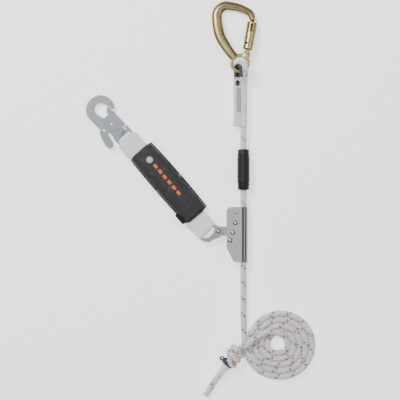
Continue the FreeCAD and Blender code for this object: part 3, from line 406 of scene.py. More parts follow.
def rope_finish(name, tracer_from=0.0):
    """White polyamide braid. Tracers are grey before this distance along the rope and red after."""
    rope = Finish(name, (0.83, 0.83, 0.81), roughness=0.72, Specular_IOR_Level=0.35)
    rope.shader.inputs["Sheen Weight"].default_value = 0.25
    rope.shader.inputs["Sheen Roughness"].default_value = 0.5
    vector, (turn, along, _) = rope.place("UV")
    one = (turn * (2 * math.pi * BRAID_STRANDS) + along * (2 * math.pi / BRAID_PITCH)).sin()
    other = (turn * (2 * math.pi * BRAID_STRANDS) - along * (2 * math.pi / BRAID_PITCH)).sin()
    over = (one * other * 0.5 + 0.5)
    yarns = (turn * 400 + along * 5200).sin() * 0.5 + 0.5
    grime = rope.noise(38, 5, 0.6).ramp(0.42, 0.78)
    shaded_groove = (1 - over).ramp(0.55, 1.0)
    helix = (turn + along / TRACER_PITCH).fract()
    dots = (along / DOT_PITCH + turn).fract()
    red = (helix > 0.42) * (helix < 0.54) * (dots < 0.5)
    dark = (helix > 0.55) * (helix < 0.66) * (dots > 0.5)
    fine = rope.noise(900, 2)
    below = along > tracer_from
    # Painted shade: the grooves between strands are coloured dark, for the shade that falls in them.
    base = rope.mix(shaded_groove * 0.7, (0.80, 0.82, 0.80), (0.24, 0.26, 0.25))
    base = rope.mix(grime * 0.25, base, (0.46, 0.46, 0.43))
    base = rope.mix(yarns * fine * 0.45, base, (0.40, 0.42, 0.41))
    grey_marks = (red.max(dark)) * (1 - below)
    base = rope.mix(grey_marks * 0.75, base, (0.11, 0.11, 0.12))
    base = rope.mix(red * below * 0.95, base, (0.60, 0.035, 0.03))
    base = rope.mix(dark * below * 0.95, base, (0.03, 0.03, 0.07))
    rope.color(base)
    rope.roughness(0.66 + shaded_groove * 0.2)
    rope.bump(over * 0.6 + yarns * 0.25 + fine * 0.15, 0.0006, 0.9)
    return rope


lifeline_finish = rope_finish("rope_sheath", TRACER_CHANGE)
tail_finish = rope_finish("tail_sheath", -1.0)
eye_finish = rope_finish("eye_sheath", 10.0)

# %% Make the lifeline
RING_SPACING = 0.00115
lifeline_line = smooth_line("lifeline_line", LIFELINE_ROUTE + coil_points() + CROSSING_ROUTE)
lifeline_path, LIFELINE_LENGTH = even(lifeline_line, RING_SPACING)
lifeline = add_piece("lifeline", tube_mesh("lifeline", lifeline_path, sheath), lifeline_finish)
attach(lifeline, "lifeline")
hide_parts("lifeline_rope", "rope_coil", "rope_crossing")
print("lifeline", round(LIFELINE_LENGTH, 3), "m in", len(lifeline_path), "rings")

tail_line = smooth_line("tail_line", TAIL_ROUTE)
tail_path, TAIL_LENGTH = even(tail_line, RING_SPACING)
tail = add_piece("rope_end", tube_mesh("rope_end", tail_path, sheath), tail_finish)
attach(tail, "lifeline")
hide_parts("rope_tail")
print("tail", round(TAIL_LENGTH, 3), "m")

# %% [markdown]
# ### The eye, the knot and the tail
# The eye is the same rope, doubled round the thimble. The stopper knot could be a solid barrel,
# but its wraps are what the eye sees, so a helix of rope is wound round a short core. It follows
# its own smooth line, entering from the crossing strand and leaving at the tail.

# %% Rope eye
EYE_ROUTE = [
    (128.1, 9.75, 12.2), (128.1, 84.0, 12.2), (127.7, 98.0, 11.2), (127.1, 109.0, 8.6), (127.06, 118.0, 8.13),
    (127.2, 126.5, 8.4), (131.0, 131.2, 14.0), (139.0, 131.2, 25.8), (142.8, 126.5, 31.3),
    (142.94, 118.5, 31.6), (142.6, 111.0, 29.8), (141.4, 101.5, 20.2), (140.5, 90.0, 13.2),
    (140.3, 78.0, 12.2),
    (140.3, 9.75, 12.2),
]
eye_path, eye_length = even(smooth_line("eye_line", EYE_ROUTE), 0.0012)
eye = add_piece("eye_rope", tube_mesh("eye_rope", eye_path, sheath), eye_finish)
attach(eye, "lifeline")
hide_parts("rope_eye", "eye_stitching")
print("eye", round(eye_length, 3), "m")

# %% Stopper knot
KNOT_CENTRE = mm(121.2, -434.9, 17.7)
KNOT_AXIS = Vector((-0.62, -0.785, 0)).normalized()
KNOT_SIDE = Vector((0, 0, 1)).cross(KNOT_AXIS).normalized()


def knot_point(along, radius, turn):
    """A point round the knot's axis. Turn 0 is to the side, 90 is up. Millimetres."""
    angle = math.radians(turn)
    out = KNOT_SIDE * math.cos(angle) + Vector((0, 0, 1)) * math.sin(angle)
    place = KNOT_CENTRE + KNOT_AXIS * mm(along) + out * mm(radius)
    return tuple(v * 1000 for v in place)


def wraps():
    points = [knot_point(-22.0, 1.5, -90), knot_point(-19.0, 6.5, -60)]
    turns = 2.2
    count = 30
    for i in range(count + 1):
        share = i / count
        lean = 4.4 * math.cos(math.radians(-30 + 360 * turns * share))
        points.append(knot_point(-16.0 + 27.0 * share + lean, 11.6, -30 + 360 * turns * share))
    points.append(knot_point(14.8, 6.0, -30 + 360 * turns + 40))
    points.append(knot_point(17.5, 1.0, 0))
    return points


knot_path, knot_length = even(smooth_line("knot_line", wraps()), 0.00115)
knot = add_piece("knot_wraps", tube_mesh("knot_wraps", knot_path, sheath), tail_finish)
core_path, _ = even([KNOT_CENTRE - KNOT_AXIS * 0.017, KNOT_CENTRE + KNOT_AXIS * 0.017], 0.002)
core = add_piece("knot_core", tube_mesh("knot_core", core_path, sheath), tail_finish)
for piece in (knot, core):
    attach(piece, "lifeline")
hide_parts("stopper_knot")
print("knot takes", round(knot_length, 3), "m of rope")

# %% [markdown]
# A tapered film sleeve covers the tail where it leaves the knot, and a dark cord is wound round
# it there. The sleeve is a lathe form on the tail's own line. The cord is a little over three
# turns of a fine helix, with a small loop standing out.

# %% Tail sleeve and tie
film = Finish("tail_film", (0.86, 0.86, 0.80), roughness=0.32)
film_wrinkles = film.noise(160, 4, 0.6)
film.color(film.mix(film_wrinkles.ramp(0.35, 0.7), (0.80, 0.80, 0.72), (0.90, 0.90, 0.86)))
film.bump(film_wrinkles, 0.0016, 0.5)


def sub_path(path, start, end):
    """The part of a path between two distances from its start."""
    found = []
    distance = 0.0
    for i, point in enumerate(path):
        if i:
            distance += (point - path[i - 1]).length
        if start <= distance <= end:
            found.append(point)
    return found


def sleeve_radius(turn, distance, share):
    taper = 0.0101 - 0.0028 * smooth(share * 1.1)
    rim = 0.0006 * (1 - min(share / 0.04, 1)) + 0.0009 * (1 - min((1 - share) / 0.03, 1))
    ripple = 0.00018 * math.sin(2 * math.pi * 5 * turn + distance * 190) * math.sin(distance * 330)
    return taper - rim + ripple


film_path = sub_path(tail_path, 0.001, 0.030)
film_sleeve = add_piece("tail_film", tube_mesh("tail_film", film_path, sleeve_radius, 40), film)
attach(film_sleeve, "lifeline")
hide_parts("tail_sleeve")

tie_finish = Finish("tie_cord", (0.035, 0.05, 0.11), roughness=0.6)
_, (tie_turn, tie_along, _) = tie_finish.place("UV")
tie_lay = (tie_turn * (2 * math.pi * 3) + tie_along * 2600).sin() * 0.5 + 0.5
tie_finish.color(tie_finish.mix(tie_lay, (0.008, 0.011, 0.028), (0.035, 0.05, 0.10)))
tie_finish.bump(tie_lay, 0.0004, 0.8)


def tie_points():
    axis = (tail_path[8] - tail_path[0]).normalized()
    side = axis.cross(Vector((0, 0, 1))).normalized()
    up = side.cross(axis)
    centre = tail_path[1]
    points = []
    for i in range(50):
        angle = math.radians(200 + i * 24)
        out = side * math.cos(angle) + up * math.sin(angle)
        points.append(centre + out * 0.0112 + axis * (0.0024 * i / 15 - 0.0034))
    loop_centre = centre + side * 0.0152 + up * 0.002
    for i in range(14):
        angle = math.radians(190 - i * 27)
        points.append(loop_centre + Vector((math.cos(angle), math.sin(angle), 0)) * 0.0034)
    return [tuple(v * 1000 for v in p) for p in points]


tie_path, _ = even(smooth_line("tie_line", tie_points()), 0.0007)
tie = add_piece("tie_cord", tube_mesh("tie_cord", tie_path, lambda *_: 0.0016, 12), tie_finish)
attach(tie, "lifeline")
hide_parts("knot_tie")

# %% [markdown]
# ## The pale sleeve
# Film shrunk over both strands takes their outline, with a shallow valley between them. Its
# section is drawn at each station down its length, and it opens out where the strands part.
# It is milky, so that the strands below show faintly: light enters it a little way. A dark line
# of painted shade runs down the valley between the strands.

# %% Sleeve over the strands
SLEEVE_LOW = 0.00975
SLEEVE_HIGH = 0.10135
STRAND_MIDDLE = 0.1342
LINE_Z = 0.0122


def strand_at(path, y):
    """The place on a strand nearest to this height."""
    return min(path, key=lambda p: abs(p.y - y))


half_way = len(eye_path) // 2
left_strand, right_strand = eye_path[:half_way], eye_path[half_way:]


def sleeve_section(y, radius, around=56):
    """Outline of both strands at this height, with the valley between them bridged."""
    left, right = strand_at(left_strand, y), strand_at(right_strand, y)
    middle = (left + right) / 2
    line = right - left
    line.y = 0
    half = line.length / 2
    across = line.normalized()
    up = Vector((-across.z, 0, across.x))
    points = []
    for k in range(around):
        turn = 2 * math.pi * k / around
        c, s = math.cos(turn), math.sin(turn)
        reach = half * abs(c) + math.sqrt(max(radius ** 2 - (half * s) ** 2, 0.0))
        valley = radius * (0.93 - 0.05 * math.cos(2 * turn))
        reach = max(reach, valley / max(abs(s), 0.35)) if abs(s) > 0.75 else reach
        ripple = 0.00012 * math.sin(5 * turn + y * 160) * math.sin(y * 410)
        place = middle + across * (c * (reach + ripple)) + up * (s * (reach + ripple))
        points.append(Vector((place.x, y, max(place.z, 0.0003))))
    return points


def lofted(name, rows, closed_ends=True, scale_u=1.0):
    """A closed form through rows of points of equal count."""
    around = len(rows[0])
    verts = [p for row in rows for p in row]
    faces = []
    for i in range(len(rows) - 1):
        for k in range(around):
            a, b = i * around + k, i * around + (k + 1) % around
            faces.append((a, b, b + around, a + around))
    if closed_ends:
        faces.append([k for k in range(around)][::-1])
        faces.append([(len(rows) - 1) * around + k for k in range(around)])
    mesh = bpy.data.meshes.new(name)
    mesh.from_pydata(verts, [], faces)
    mesh.polygons.foreach_set("use_smooth", [len(f) == 4 for f in faces])
    mesh.update()
    return mesh


rows = []
stations = 70
for i in range(stations + 1):
    share = i / stations
    height = SLEEVE_LOW + (SLEEVE_HIGH - SLEEVE_LOW) * share
    wall = 0.0013 + 0.0007 * smooth((share - 0.93) / 0.07) + 0.0003 * smooth((0.05 - share) / 0.05)
    rows.append(sleeve_section(height, ROPE_RADIUS + wall))
for inset in (0.0005, 0.0011):
    rows.append(sleeve_section(SLEEVE_HIGH + 0.0003 - inset * 0.2, ROPE_RADIUS + 0.0020 - inset))
milky = Finish("shrink_film", (0.80, 0.80, 0.78), roughness=0.22, Coat_Weight=0.25)
milky.shader.inputs["Subsurface Weight"].default_value = 0.25
milky.shader.inputs["Subsurface Scale"].default_value = 0.002
cloud = milky.noise(55, 4, 0.6)
_, (sleeve_x, _, _) = milky.place()
# Painted shade: a dark line down the valley between the two strands.
valley_shade = 1 - ((sleeve_x - STRAND_MIDDLE).abs() / 0.0016).clamp()
strand_marks = milky.noise(420, 2, 0.5, milky.stretched(1, 0.35, 1))
tint = milky.mix(cloud.ramp(0.3, 0.75), (0.62, 0.62, 0.60), (0.78, 0.78, 0.76))
tint = milky.mix(valley_shade * 0.55, tint, (0.36, 0.36, 0.35))
tint = milky.mix(strand_marks.ramp(0.5, 0.75) * 0.25, tint, (0.60, 0.60, 0.58))
milky.color(tint)
milky.bump(cloud * 0.4 + strand_marks * 0.6, 0.0008, 0.5)
sleeve = add_piece("sleeve_film", lofted("sleeve_film", rows), milky)
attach(sleeve, "lifeline")
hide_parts("shrink_sleeve")

# %% [markdown]
# The label and the small oval button lie on the sleeve. Both are thin, so each is a patch of
# points dropped onto the sleeve's surface and given a thickness.

# %% Patches that lie on a surface
from mathutils.bvhtree import BVHTree


def surface_of(piece):
    piece_mesh = piece.data
    matrix = piece.matrix_world
    return BVHTree.FromPolygons([matrix @ v.co for v in piece_mesh.vertices],
                                [tuple(p.vertices) for p in piece_mesh.polygons])


def patch(name, tree, place, outline, thickness, finish, cuts=10):
    """A thin piece whose outline (x, y in its own frame) is dropped onto a surface."""
    rows = []
    for layer in range(cuts + 1):
        share = 1 - layer / cuts * 0.985
        edge = 0.35 if layer == 0 else 1.0
        row = []
        for x, y in outline:
            start = place @ Vector((x * share, y * share, 0.08))
            hit = tree.ray_cast(start, Vector((0, 0, -1)))[0]
            top = (hit or place @ Vector((x * share, y * share, 0))) + Vector((0, 0, thickness * edge))
            row.append(top)
        rows.append(row)
    below = [p - Vector((0, 0, thickness * 0.9)) for p in rows[0]]
    return add_piece(name, lofted(name, [below] + rows), finish)


def rounded_box(width, length, corner, steps=6):
    """Outline of a rounded rectangle about its middle."""
    points = []
    for cx, cy, start in ((1, 1, 0), (-1, 1, 90), (-1, -1, 180), (1, -1, 270)):
        for k in range(steps + 1):
            turn = math.radians(start + 90 * k / steps)
            points.append((cx * (width / 2 - corner) + corner * math.cos(turn),
                           cy * (length / 2 - corner) + corner * math.sin(turn)))
    dense = []
    for a, b in zip(points, points[1:] + points[:1]):
        gap = math.dist(a, b)
        count = max(int(gap / 0.002), 1)
        dense += [(a[0] + (b[0] - a[0]) * i / count, a[1] + (b[1] - a[1]) * i / count) for i in range(count)]
    return dense


def oval(width, length, count=28):
    turns = [2 * math.pi * k / count for k in range(count)]
    return [(width / 2 * math.cos(t), length / 2 * math.sin(t)) for t in turns]


# %% Label and button
label_finish = Finish("grey_label", (0.30, 0.30, 0.30), roughness=0.55)
_, (_, label_y, _) = label_finish.place()
rows_of_print = (label_y * 420).fract() > 0.62
breaks = label_finish.noise(600, 1, 0.5, label_finish.stretched(1, 0.12, 1)) > 0.47
label_finish.color(label_finish.mix(rows_of_print * breaks * 0.5, (0.33, 0.33, 0.33), (0.17, 0.17, 0.17)))
sleeve_surface = surface_of(sleeve)
label = patch("sleeve_label_print", sleeve_surface, Matrix.Translation(mm(131.2, 61.9, 0)),
              rounded_box(0.0088, 0.0466, 0.001), 0.0004, label_finish)
button_finish = Finish("black_button", (0.012, 0.012, 0.016), roughness=0.3)
button = patch("sleeve_button", sleeve_surface, Matrix.Translation(mm(128.6, 93.8, 0)),
               oval(0.009, 0.012), 0.0011, button_finish)
for piece, slot_name, node_name in ((label, "label_grey", "sleeve_label"),
                                    (button, "disc_black", "sleeve_disc")):
    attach(piece, "lifeline")
    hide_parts(node_name)

# %% [markdown]
# ## The end stop
# A ribbed black rubber tube with a thicker cover and a band at each end. All three are turned
# about the rope, so each is one lathe profile.

# %% End stop


def turned(name, profile, finish, centre_x=0.1403, centre_z=LINE_Z, around=72):
    """A form turned about the rope's line from (y, radius) pairs in millimetres."""
    rows = []
    for y, radius in profile:
        rows.append([Vector((centre_x + mm(radius) * math.cos(2 * math.pi * k / around), mm(y),
                             centre_z + mm(radius) * math.sin(2 * math.pi * k / around)))
                     for k in range(around)])
    mesh = lofted(name, rows + rows[:1], closed_ends=False)
    piece = add_piece(name, mesh, finish)
    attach(piece, "lifeline")
    return piece


def tube_profile(low, high, inner, outer, edge=0.8, rib=0.0, rib_pitch=2.4):
    """Closed profile of a tube wall with eased ends, and ribs round it if asked for."""
    profile = [(low, inner), (high, inner), (high, outer - edge), (high - edge * 0.3, outer - edge * 0.3),
               (high - edge, outer)]
    if rib:
        count = int((high - low - 2 * edge) / (rib_pitch / 6))
        for i in range(1, count):
            y = high - edge - i * (high - low - 2 * edge) / count
            profile.append((y, outer - rib * (0.5 + 0.5 * math.cos(2 * math.pi * (y - low) / rib_pitch))))
    profile += [(low + edge, outer), (low + edge * 0.3, outer - edge * 0.3), (low, outer - edge)]
    return profile


rubber = Finish("black_rubber", (0.008, 0.008, 0.009), roughness=0.5, Specular_IOR_Level=0.3)
scuffs = rubber.noise(300, 4, 0.6)
rubber.color(rubber.mix(scuffs.ramp(0.45, 0.8), (0.006, 0.006, 0.007), (0.022, 0.022, 0.024)))
rubber.roughness(0.38 + scuffs * 0.25)
rubber.bump(scuffs, 0.0004, 0.4)
stop_low, stop_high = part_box("stop_core")[0].y * 1000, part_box("stop_core")[1].y * 1000
cover_low, cover_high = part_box("stop_cover")[0].y * 1000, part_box("stop_cover")[1].y * 1000
stop_inner = turned("stop_tube", tube_profile(stop_low, stop_high, 6.35, 11.0, 1.4), rubber)
stop_outer = turned("stop_grip", tube_profile(cover_low, cover_high, 10.9, 12.15, 0.9, 0.35), rubber)
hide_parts("stop_core")
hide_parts("stop_cover")
band_low = turned("stop_band_low", tube_profile(-104.1, -101.1, 10.9, 11.75, 0.5), rubber)
band_high = turned("stop_band_high", tube_profile(-46.5, -43.5, 10.9, 11.75, 0.5), rubber)
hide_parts("stop_bands")

tuple(mm(*LIFELINE_ROUTE[0]))
tuple(mm(*TAIL_ROUTE[0]))

# %% [markdown]
# ## Finishes of the hard parts
# The metal parts keep the mesh they were made with. Each gets its edges eased by a modifier and
# a finish of its own: yellow passivated steel, satin stainless, bright zinc, black plastic.
# Every finish has some wear: streaks, smudges and a little tint where the coating varies. The
# grab is one sheet of steel. Its fold rubs on the rope and is polished, and its cheeks are satin,
# so one finish changes its roughness at the line where the fold starts, and darkens the fold's
# colour there as painted shade.

# %% Hard finishes


def yellow_zinc():
    """Passivated zinc: straw yellow with brown and faint pink clouds, drawn streaks, and painted reflection
    darkening the top.
    """
    metal = Finish("yellow_zinc", (0.55, 0.47, 0.30), roughness=0.3, metallic=1.0)
    _, (x, y, z) = metal.place()
    clouds = metal.noise(26, 3, 0.55)
    fine = metal.noise(210, 4, 0.6)
    streaks = metal.noise(90, 3, 0.6, metal.stretched(0.25, 1.6, 1.2))
    tint = metal.mix(clouds.ramp(0.35, 0.68), (0.42, 0.36, 0.16), (0.29, 0.23, 0.10))
    tint = metal.mix(metal.noise(14, 2, 0.5).ramp(0.55, 0.75) * 0.5, tint, (0.42, 0.28, 0.20))
    # Painted reflection: the parts are coloured dark brown towards the top, for the dark surroundings they
    # mirror there.
    high = (y - 0.212).ramp(0.0, 0.03)
    tint = metal.mix(high * 0.55, tint, (0.14, 0.09, 0.05))
    tint = metal.mix(streaks.ramp(0.5, 0.8) * 0.4, tint, (0.60, 0.54, 0.38))
    metal.color(tint)
    metal.roughness(0.20 + fine * 0.18 + streaks * 0.08)
    metal.bump(fine * 0.5 + streaks * 0.5, 0.0003, 0.25)
    return metal


def satin_steel(name, color, rough, grain=(1.0, 0.06, 1.0), bump=0.2):
    """Stainless or zinc with a fine directional grain and a few smudges."""
    metal = Finish(name, color, roughness=rough, metallic=1.0)
    lines = metal.noise(900, 2, 0.6, metal.stretched(*grain))
    smudge = metal.noise(45, 4, 0.6)
    dark = tuple(c * 0.72 for c in color)
    metal.color(metal.mix(smudge.ramp(0.4, 0.8) * 0.45, color, dark))
    metal.roughness(rough - 0.06 + lines * 0.10 + smudge * 0.10)
    metal.bump(lines, 0.00012, bump)
    return metal


def black_plastic():
    plastic = Finish("black_plastic", (0.022, 0.022, 0.024), roughness=0.38)
    grain = plastic.noise(1400, 2, 0.5)
    smudge = plastic.noise(70, 4, 0.6)
    plastic.color(plastic.mix(smudge.ramp(0.5, 0.8), (0.016, 0.016, 0.018), (0.045, 0.045, 0.047)))
    plastic.roughness(0.32 + smudge * 0.2)
    plastic.bump(grain, 0.0002, 0.3)
    return plastic


FOLD_START = 0.1368  # where the flat cheek turns into the fold, along x
FOLD_BLEND = 0.0004


def folded_steel():
    """Satin cheeks, and a polished fold where the sheet was drawn round a mandrel, darkened as painted shade.
    """
    metal = Finish("folded_steel", (0.47, 0.47, 0.46), roughness=0.34, metallic=1.0)
    _, (x, y, z) = metal.place()
    fold = (x - FOLD_START).ramp(0.0, FOLD_BLEND)
    lines = metal.noise(900, 2, 0.6, metal.stretched(1.0, 0.06, 1.0))
    smudge = metal.noise(45, 4, 0.6)
    satin = metal.mix(smudge.ramp(0.4, 0.8) * 0.4, (0.54, 0.54, 0.53), (0.42, 0.42, 0.41))
    # Painted shade: the fold is coloured darker than the cheeks, besides being polished.
    metal.color(metal.mix(fold, satin, (0.40, 0.40, 0.39)))
    metal.roughness((0.28 + lines * 0.10 + smudge * 0.10) * (1 - fold) + fold * 0.09)
    metal.bump(lines * (1 - fold * 0.8), 0.00012, 0.2)
    return metal


yellow = yellow_zinc()
# Painted shade: the carabiner's gate is a darkened copy of the yellow zinc colour.
gate_zinc_painted_dark = satin_steel("gate_zinc_painted_dark", (0.12, 0.10, 0.07), 0.4)
stainless = satin_steel("stainless", (0.54, 0.54, 0.53), 0.32)
polished = satin_steel("stainless_ring", (0.58, 0.58, 0.57), 0.26, (1, 1, 1), 0.08)
rivet_steel = satin_steel("rivet_steel", (0.50, 0.50, 0.49), 0.16, (1, 1, 1), 0.1)
zinc = satin_steel("zinc_plate", (0.50, 0.54, 0.56), 0.26, (1, 1, 1), 0.15)
pin_steel = satin_steel("pin_steel", (0.45, 0.44, 0.41), 0.25)
spring_steel = satin_steel("spring_steel", (0.14, 0.13, 0.12), 0.35)
plastic = black_plastic()

HARD_PARTS = [
    (yellow, "yellow_zinc", 0.3, ["carabiner_frame", "lock_sleeve"]),
    (gate_zinc_painted_dark, "yellow_zinc", 0.3, ["carabiner_gate"]),
    (stainless, "stainless", 0.35, ["cam_lever", "cheek_spacers", "cam_washers"]),
    (folded_steel(), "stainless", 0.35, ["grab_body"]),
    (polished, "stainless", 0.3, ["webbing_ring"]),
    (plastic, "thimble_black", 0.5, ["thimble"]),
    (rivet_steel, "stainless", 0.15, ["cheek_rivets", "cam_pivot_rivet", "ring_rivet"]),
    (zinc, "zinc", 0.8, ["hook_body", "hook_gate", "hook_lever", "hook_gate_rivet", "hook_lever_rivet",
                          "hook_stop_rivet"]),
    (pin_steel, "pin_steel", 0.15, ["gate_pin", "gate_plunger", "lock_guide_pin"]),
    (spring_steel, "spring_steel", 0.0, ["gate_spring", "lock_spring", "cam_spring", "hook_gate_spring",
                                         "hook_lever_spring"]),
]


def ease_edges(part, width):
    """Smooth shading with eased edges, by modifiers, so that the part's own points stay."""
    if "custom_normal" in part.data.attributes:
        part.data.attributes.remove(part.data.attributes["custom_normal"])
    part.data.polygons.foreach_set("use_smooth", [True] * len(part.data.polygons))
    weld = part.modifiers.new("weld", "WELD")
    weld.merge_threshold = 0.000002
    if width:
        bevel = part.modifiers.new("ease", "BEVEL")
        bevel.width = mm(width)
        bevel.segments = 2
        bevel.limit_method = "ANGLE"
        bevel.angle_limit = math.radians(38)
        bevel.use_clamp_overlap = True
        bevel.miter_outer = "MITER_ARC"
    split = part.modifiers.new("split", "EDGE_SPLIT")
    split.split_angle = math.radians(38)
    even_out = part.modifiers.new("even", "WEIGHTED_NORMAL")
    even_out.keep_sharp = True


for finish, slot_name, width, names in HARD_PARTS:
    for name in names:
        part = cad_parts[name]
        part.data.materials.clear()
        part.data.materials.append(finish.material)
        part.data.update()
        ease_edges(part, width)
print("hard parts", sum(len(row[3]) for row in HARD_PARTS))

# %% [markdown]
# ## Webbing
# Each strap is one woven ribbon: it comes out of the cover, passes over its bar, gathers to fit
# the slot and runs back underneath. Cloth simulation would only blur this, so the ribbon is laid
# out by stations. Each has a place, a half width and a direction across, and a smooth curve
# joins them.

# %% Frames of the straps


def flat_frame(x, y, z, turn):
    return Matrix.Translation(mm(x, y, z)) @ Matrix.Rotation(math.radians(turn), 4, "Z")


COVER_FRAME = flat_frame(-5.05, -99.95, 12.2, -49.1)
RING_BAR = flat_frame(68.5, -191.0, 16.5, -45.0) @ Matrix.Translation(mm(-0.5, 0, 0))
HOOK_BAR = flat_frame(-137.8, 43.1, 7.2, -46.4) @ Matrix.Translation(mm(78.2, -3.0, 0))


def between(a, b, c, d, t):
    """A smooth curve from b to c, at t from 0 to 1 (Catmull-Rom)."""
    return 0.5 * ((2 * b) + (c - a) * t + (2 * a - 5 * b + 4 * c - d) * t * t
                  + (3 * b - a - 3 * c + d) * t ** 3)


def dense(values, cuts):
    found = []
    for i in range(len(values) - 1):
        a, b = values[max(i - 1, 0)], values[i]
        c, d = values[i + 1], values[min(i + 2, len(values) - 1)]
        found += [between(a, b, c, d, k / cuts) for k in range(cuts)]
    return found + [values[-1]]


def ribbon(name, stations, thickness, finish, cuts=9, columns=30):
    """A woven strap through stations of (frame, x, z, half width, shift across), in millimetres."""
    centres = dense([f @ mm(x, shift, z) for f, x, z, half, shift in stations], cuts)
    acrosses = dense([(f.to_3x3() @ Vector((0, 1, 0))) for f, *_ in stations], cuts)
    halves = dense([mm(half) for *_, half, _ in stations], cuts)
    rows = []
    distances = []
    distance = 0.0
    for i, centre in enumerate(centres):
        if i:
            distance += (centre - centres[i - 1]).length
        distances.append(distance)
        ahead = (centres[min(i + 1, len(centres) - 1)] - centres[max(i - 1, 0)]).normalized()
        across = acrosses[i].normalized()
        normal = across.cross(ahead).normalized()
        full = mm(22.5)
        gather = 1 - halves[i] / full
        row = []
        for side in (1, -1):
            for k in range(columns + 1):
                share = (k / columns * 2 - 1) * side
                edge = max(0.0, abs(share) - 0.93) / 0.07
                thick = thickness / 2 * math.sqrt(max(1 - 0.8 * edge * edge, 0.04))
                fold = gather * 0.0016 * math.cos(share * math.pi * 2.5)
                row.append(centre + across * (share * halves[i]) + normal * (side * thick + fold))
        rows.append(row)
    mesh = lofted(name, rows)
    layer = mesh.uv_layers.new(name="map")
    around = len(rows[0])
    for loop in mesh.loops:
        at, k = divmod(loop.vertex_index, around)
        share = (k % (columns + 1)) / columns
        layer.data[loop.index].uv = (share if k <= columns else 1 - share, distances[at])
    return add_piece(name, mesh, finish)


# %% Webbing finish
webbing = Finish("white_webbing", (0.80, 0.81, 0.80), roughness=0.8, Specular_IOR_Level=0.25)
webbing.shader.inputs["Sheen Weight"].default_value = 0.3
webbing.shader.inputs["Sheen Roughness"].default_value = 0.5
_, (web_across, web_along, _) = webbing.place("UV")
ribs = (web_along * (2 * math.pi / 0.0017)).sin() * 0.5 + 0.5
cords_across = (web_across * (2 * math.pi * 22)).sin() * 0.5 + 0.5
twill = ((web_across * 22 + web_along * 590).fract() * 2 - 1).abs()
edge_band = ((web_across - 0.5).abs() > 0.455) * 1.0
seam_lines = ((web_across - 0.5).abs() > 0.30) * ((web_across - 0.5).abs() < 0.315)
dirt = webbing.noise(42, 5, 0.6)
cloth = webbing.mix(twill * 0.35, (0.80, 0.82, 0.81), (0.58, 0.60, 0.59))
cloth = webbing.mix(cords_across * 0.18, cloth, (0.60, 0.61, 0.61))
cloth = webbing.mix(seam_lines * 0.35, cloth, (0.55, 0.56, 0.56))
cloth = webbing.mix(edge_band * 0.2, cloth, (0.62, 0.63, 0.63))
cloth = webbing.mix(dirt.ramp(0.45, 0.8) * 0.18, cloth, (0.58, 0.57, 0.54))
webbing.color(cloth)
webbing.bump(ribs * 0.45 + cords_across * 0.35 + twill * 0.2, 0.0005, 0.8)

# %% The two straps
PLY = 0.0024
LOWER_STATIONS = [
    (COVER_FRAME, 60, 1.4, 21.0, 0), (COVER_FRAME, 78, 1.4, 21.4, 0), (RING_BAR, -34, -2.9, 22.4, 0),
    (RING_BAR, -18, -1.9, 22.5, 0), (RING_BAR, -9, 1.4, 22.5, 0), (RING_BAR, -3.5, 3.7, 22.5, 0),
    (RING_BAR, 1.2, 4.2, 22.0, -0.2), (RING_BAR, 4.3, 2.4, 18.5, -0.8), (RING_BAR, 4.9, -0.4, 13.6, -1.25),
    (RING_BAR, 3.4, -3.4, 13.4, -1.25), (RING_BAR, -0.8, -4.7, 15.0, -1.0), (RING_BAR, -7, -5.2, 18.5, -0.5),
    (RING_BAR, -18, -5.6, 22.0, 0), (RING_BAR, -34, -5.7, 22.4, 0), (COVER_FRAME, 78, -1.4, 21.4, 0),
    (COVER_FRAME, 60, -1.4, 21.0, 0),
]
UPPER_STATIONS = [
    (COVER_FRAME, -60, 1.4, 21.0, 0), (COVER_FRAME, -78, 1.4, 21.4, 0), (HOOK_BAR, 32, 6.4, 22.4, 0),
    (HOOK_BAR, 17, 6.5, 22.5, 0), (HOOK_BAR, 8, 6.3, 22.5, 0), (HOOK_BAR, 2, 5.6, 22.5, 0),
    (HOOK_BAR, -2.4, 4.7, 20.0, 0), (HOOK_BAR, -5.2, 2.4, 14.6, 0), (HOOK_BAR, -5.7, 0, 13.2, 0),
    (HOOK_BAR, -4.6, -3.2, 13.2, 0), (HOOK_BAR, -0.5, -5.0, 15.0, 0), (HOOK_BAR, 7, -4.6, 19.0, 0),
    (HOOK_BAR, 17, -1.6, 22.0, 0), (HOOK_BAR, 32, 2.4, 22.4, 0), (COVER_FRAME, -78, -1.4, 21.4, 0),
    (COVER_FRAME, -60, -1.4, 21.0, 0),
]
lower = ribbon("lower_strap", LOWER_STATIONS, PLY, webbing)
upper = ribbon("upper_strap", UPPER_STATIONS, PLY, webbing)
for piece, node_name, ends in (
    (lower, "lower_webbing", ("ring", RING_BAR @ mm(1.5, 0, 0), RING_BAR @ mm(-13, 0, 0))),
    (upper, "upper_webbing", ("hook", HOOK_BAR @ mm(-1.5, 0, 0), HOOK_BAR @ mm(13, 0, 0))),
):
    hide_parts(node_name)
    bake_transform(piece)
print("straps", len(lower.data.vertices), len(upper.data.vertices))

# %% [markdown]
# ## The absorber's cover
# The cover is a flat fabric sleeve stuffed with folded webbing. A closed form of its outline is
# blown up a little as cloth, which rounds its faces and pulls its edges in. The bound edges, the
# end seams and the print are added after that.

# %% Cover as inflated cloth
HALF_LENGTH = 0.0870


def cover_half_width(x):
    """Half of the cover's width at this distance from its middle."""
    share = abs(x) / HALF_LENGTH
    bow = 0.0283 - 0.0022 * share ** 2.2
    return bow - 0.0060 * smooth((share - 0.93) / 0.07)


def cover_rows(inset, half_high, columns=44, lengths=96):
    rows = []
    for i in range(lengths + 1):
        x = (i / lengths * 2 - 1) * (HALF_LENGTH - inset)
        end = smooth((1 - abs(x) / HALF_LENGTH) / 0.10)
        high = half_high * (0.52 + 0.48 * end)
        width = cover_half_width(x) - inset
        row = []
        for k in range(columns * 2):
            turn = 2 * math.pi * k / (columns * 2)
            c, s = math.cos(turn), math.sin(turn)
            across = math.copysign(abs(c) ** 0.55, c) * width
            up = math.copysign(abs(s) ** 0.62, s) * high
            row.append(COVER_FRAME @ Vector((x, across, up)))
        rows.append(row)
    return rows


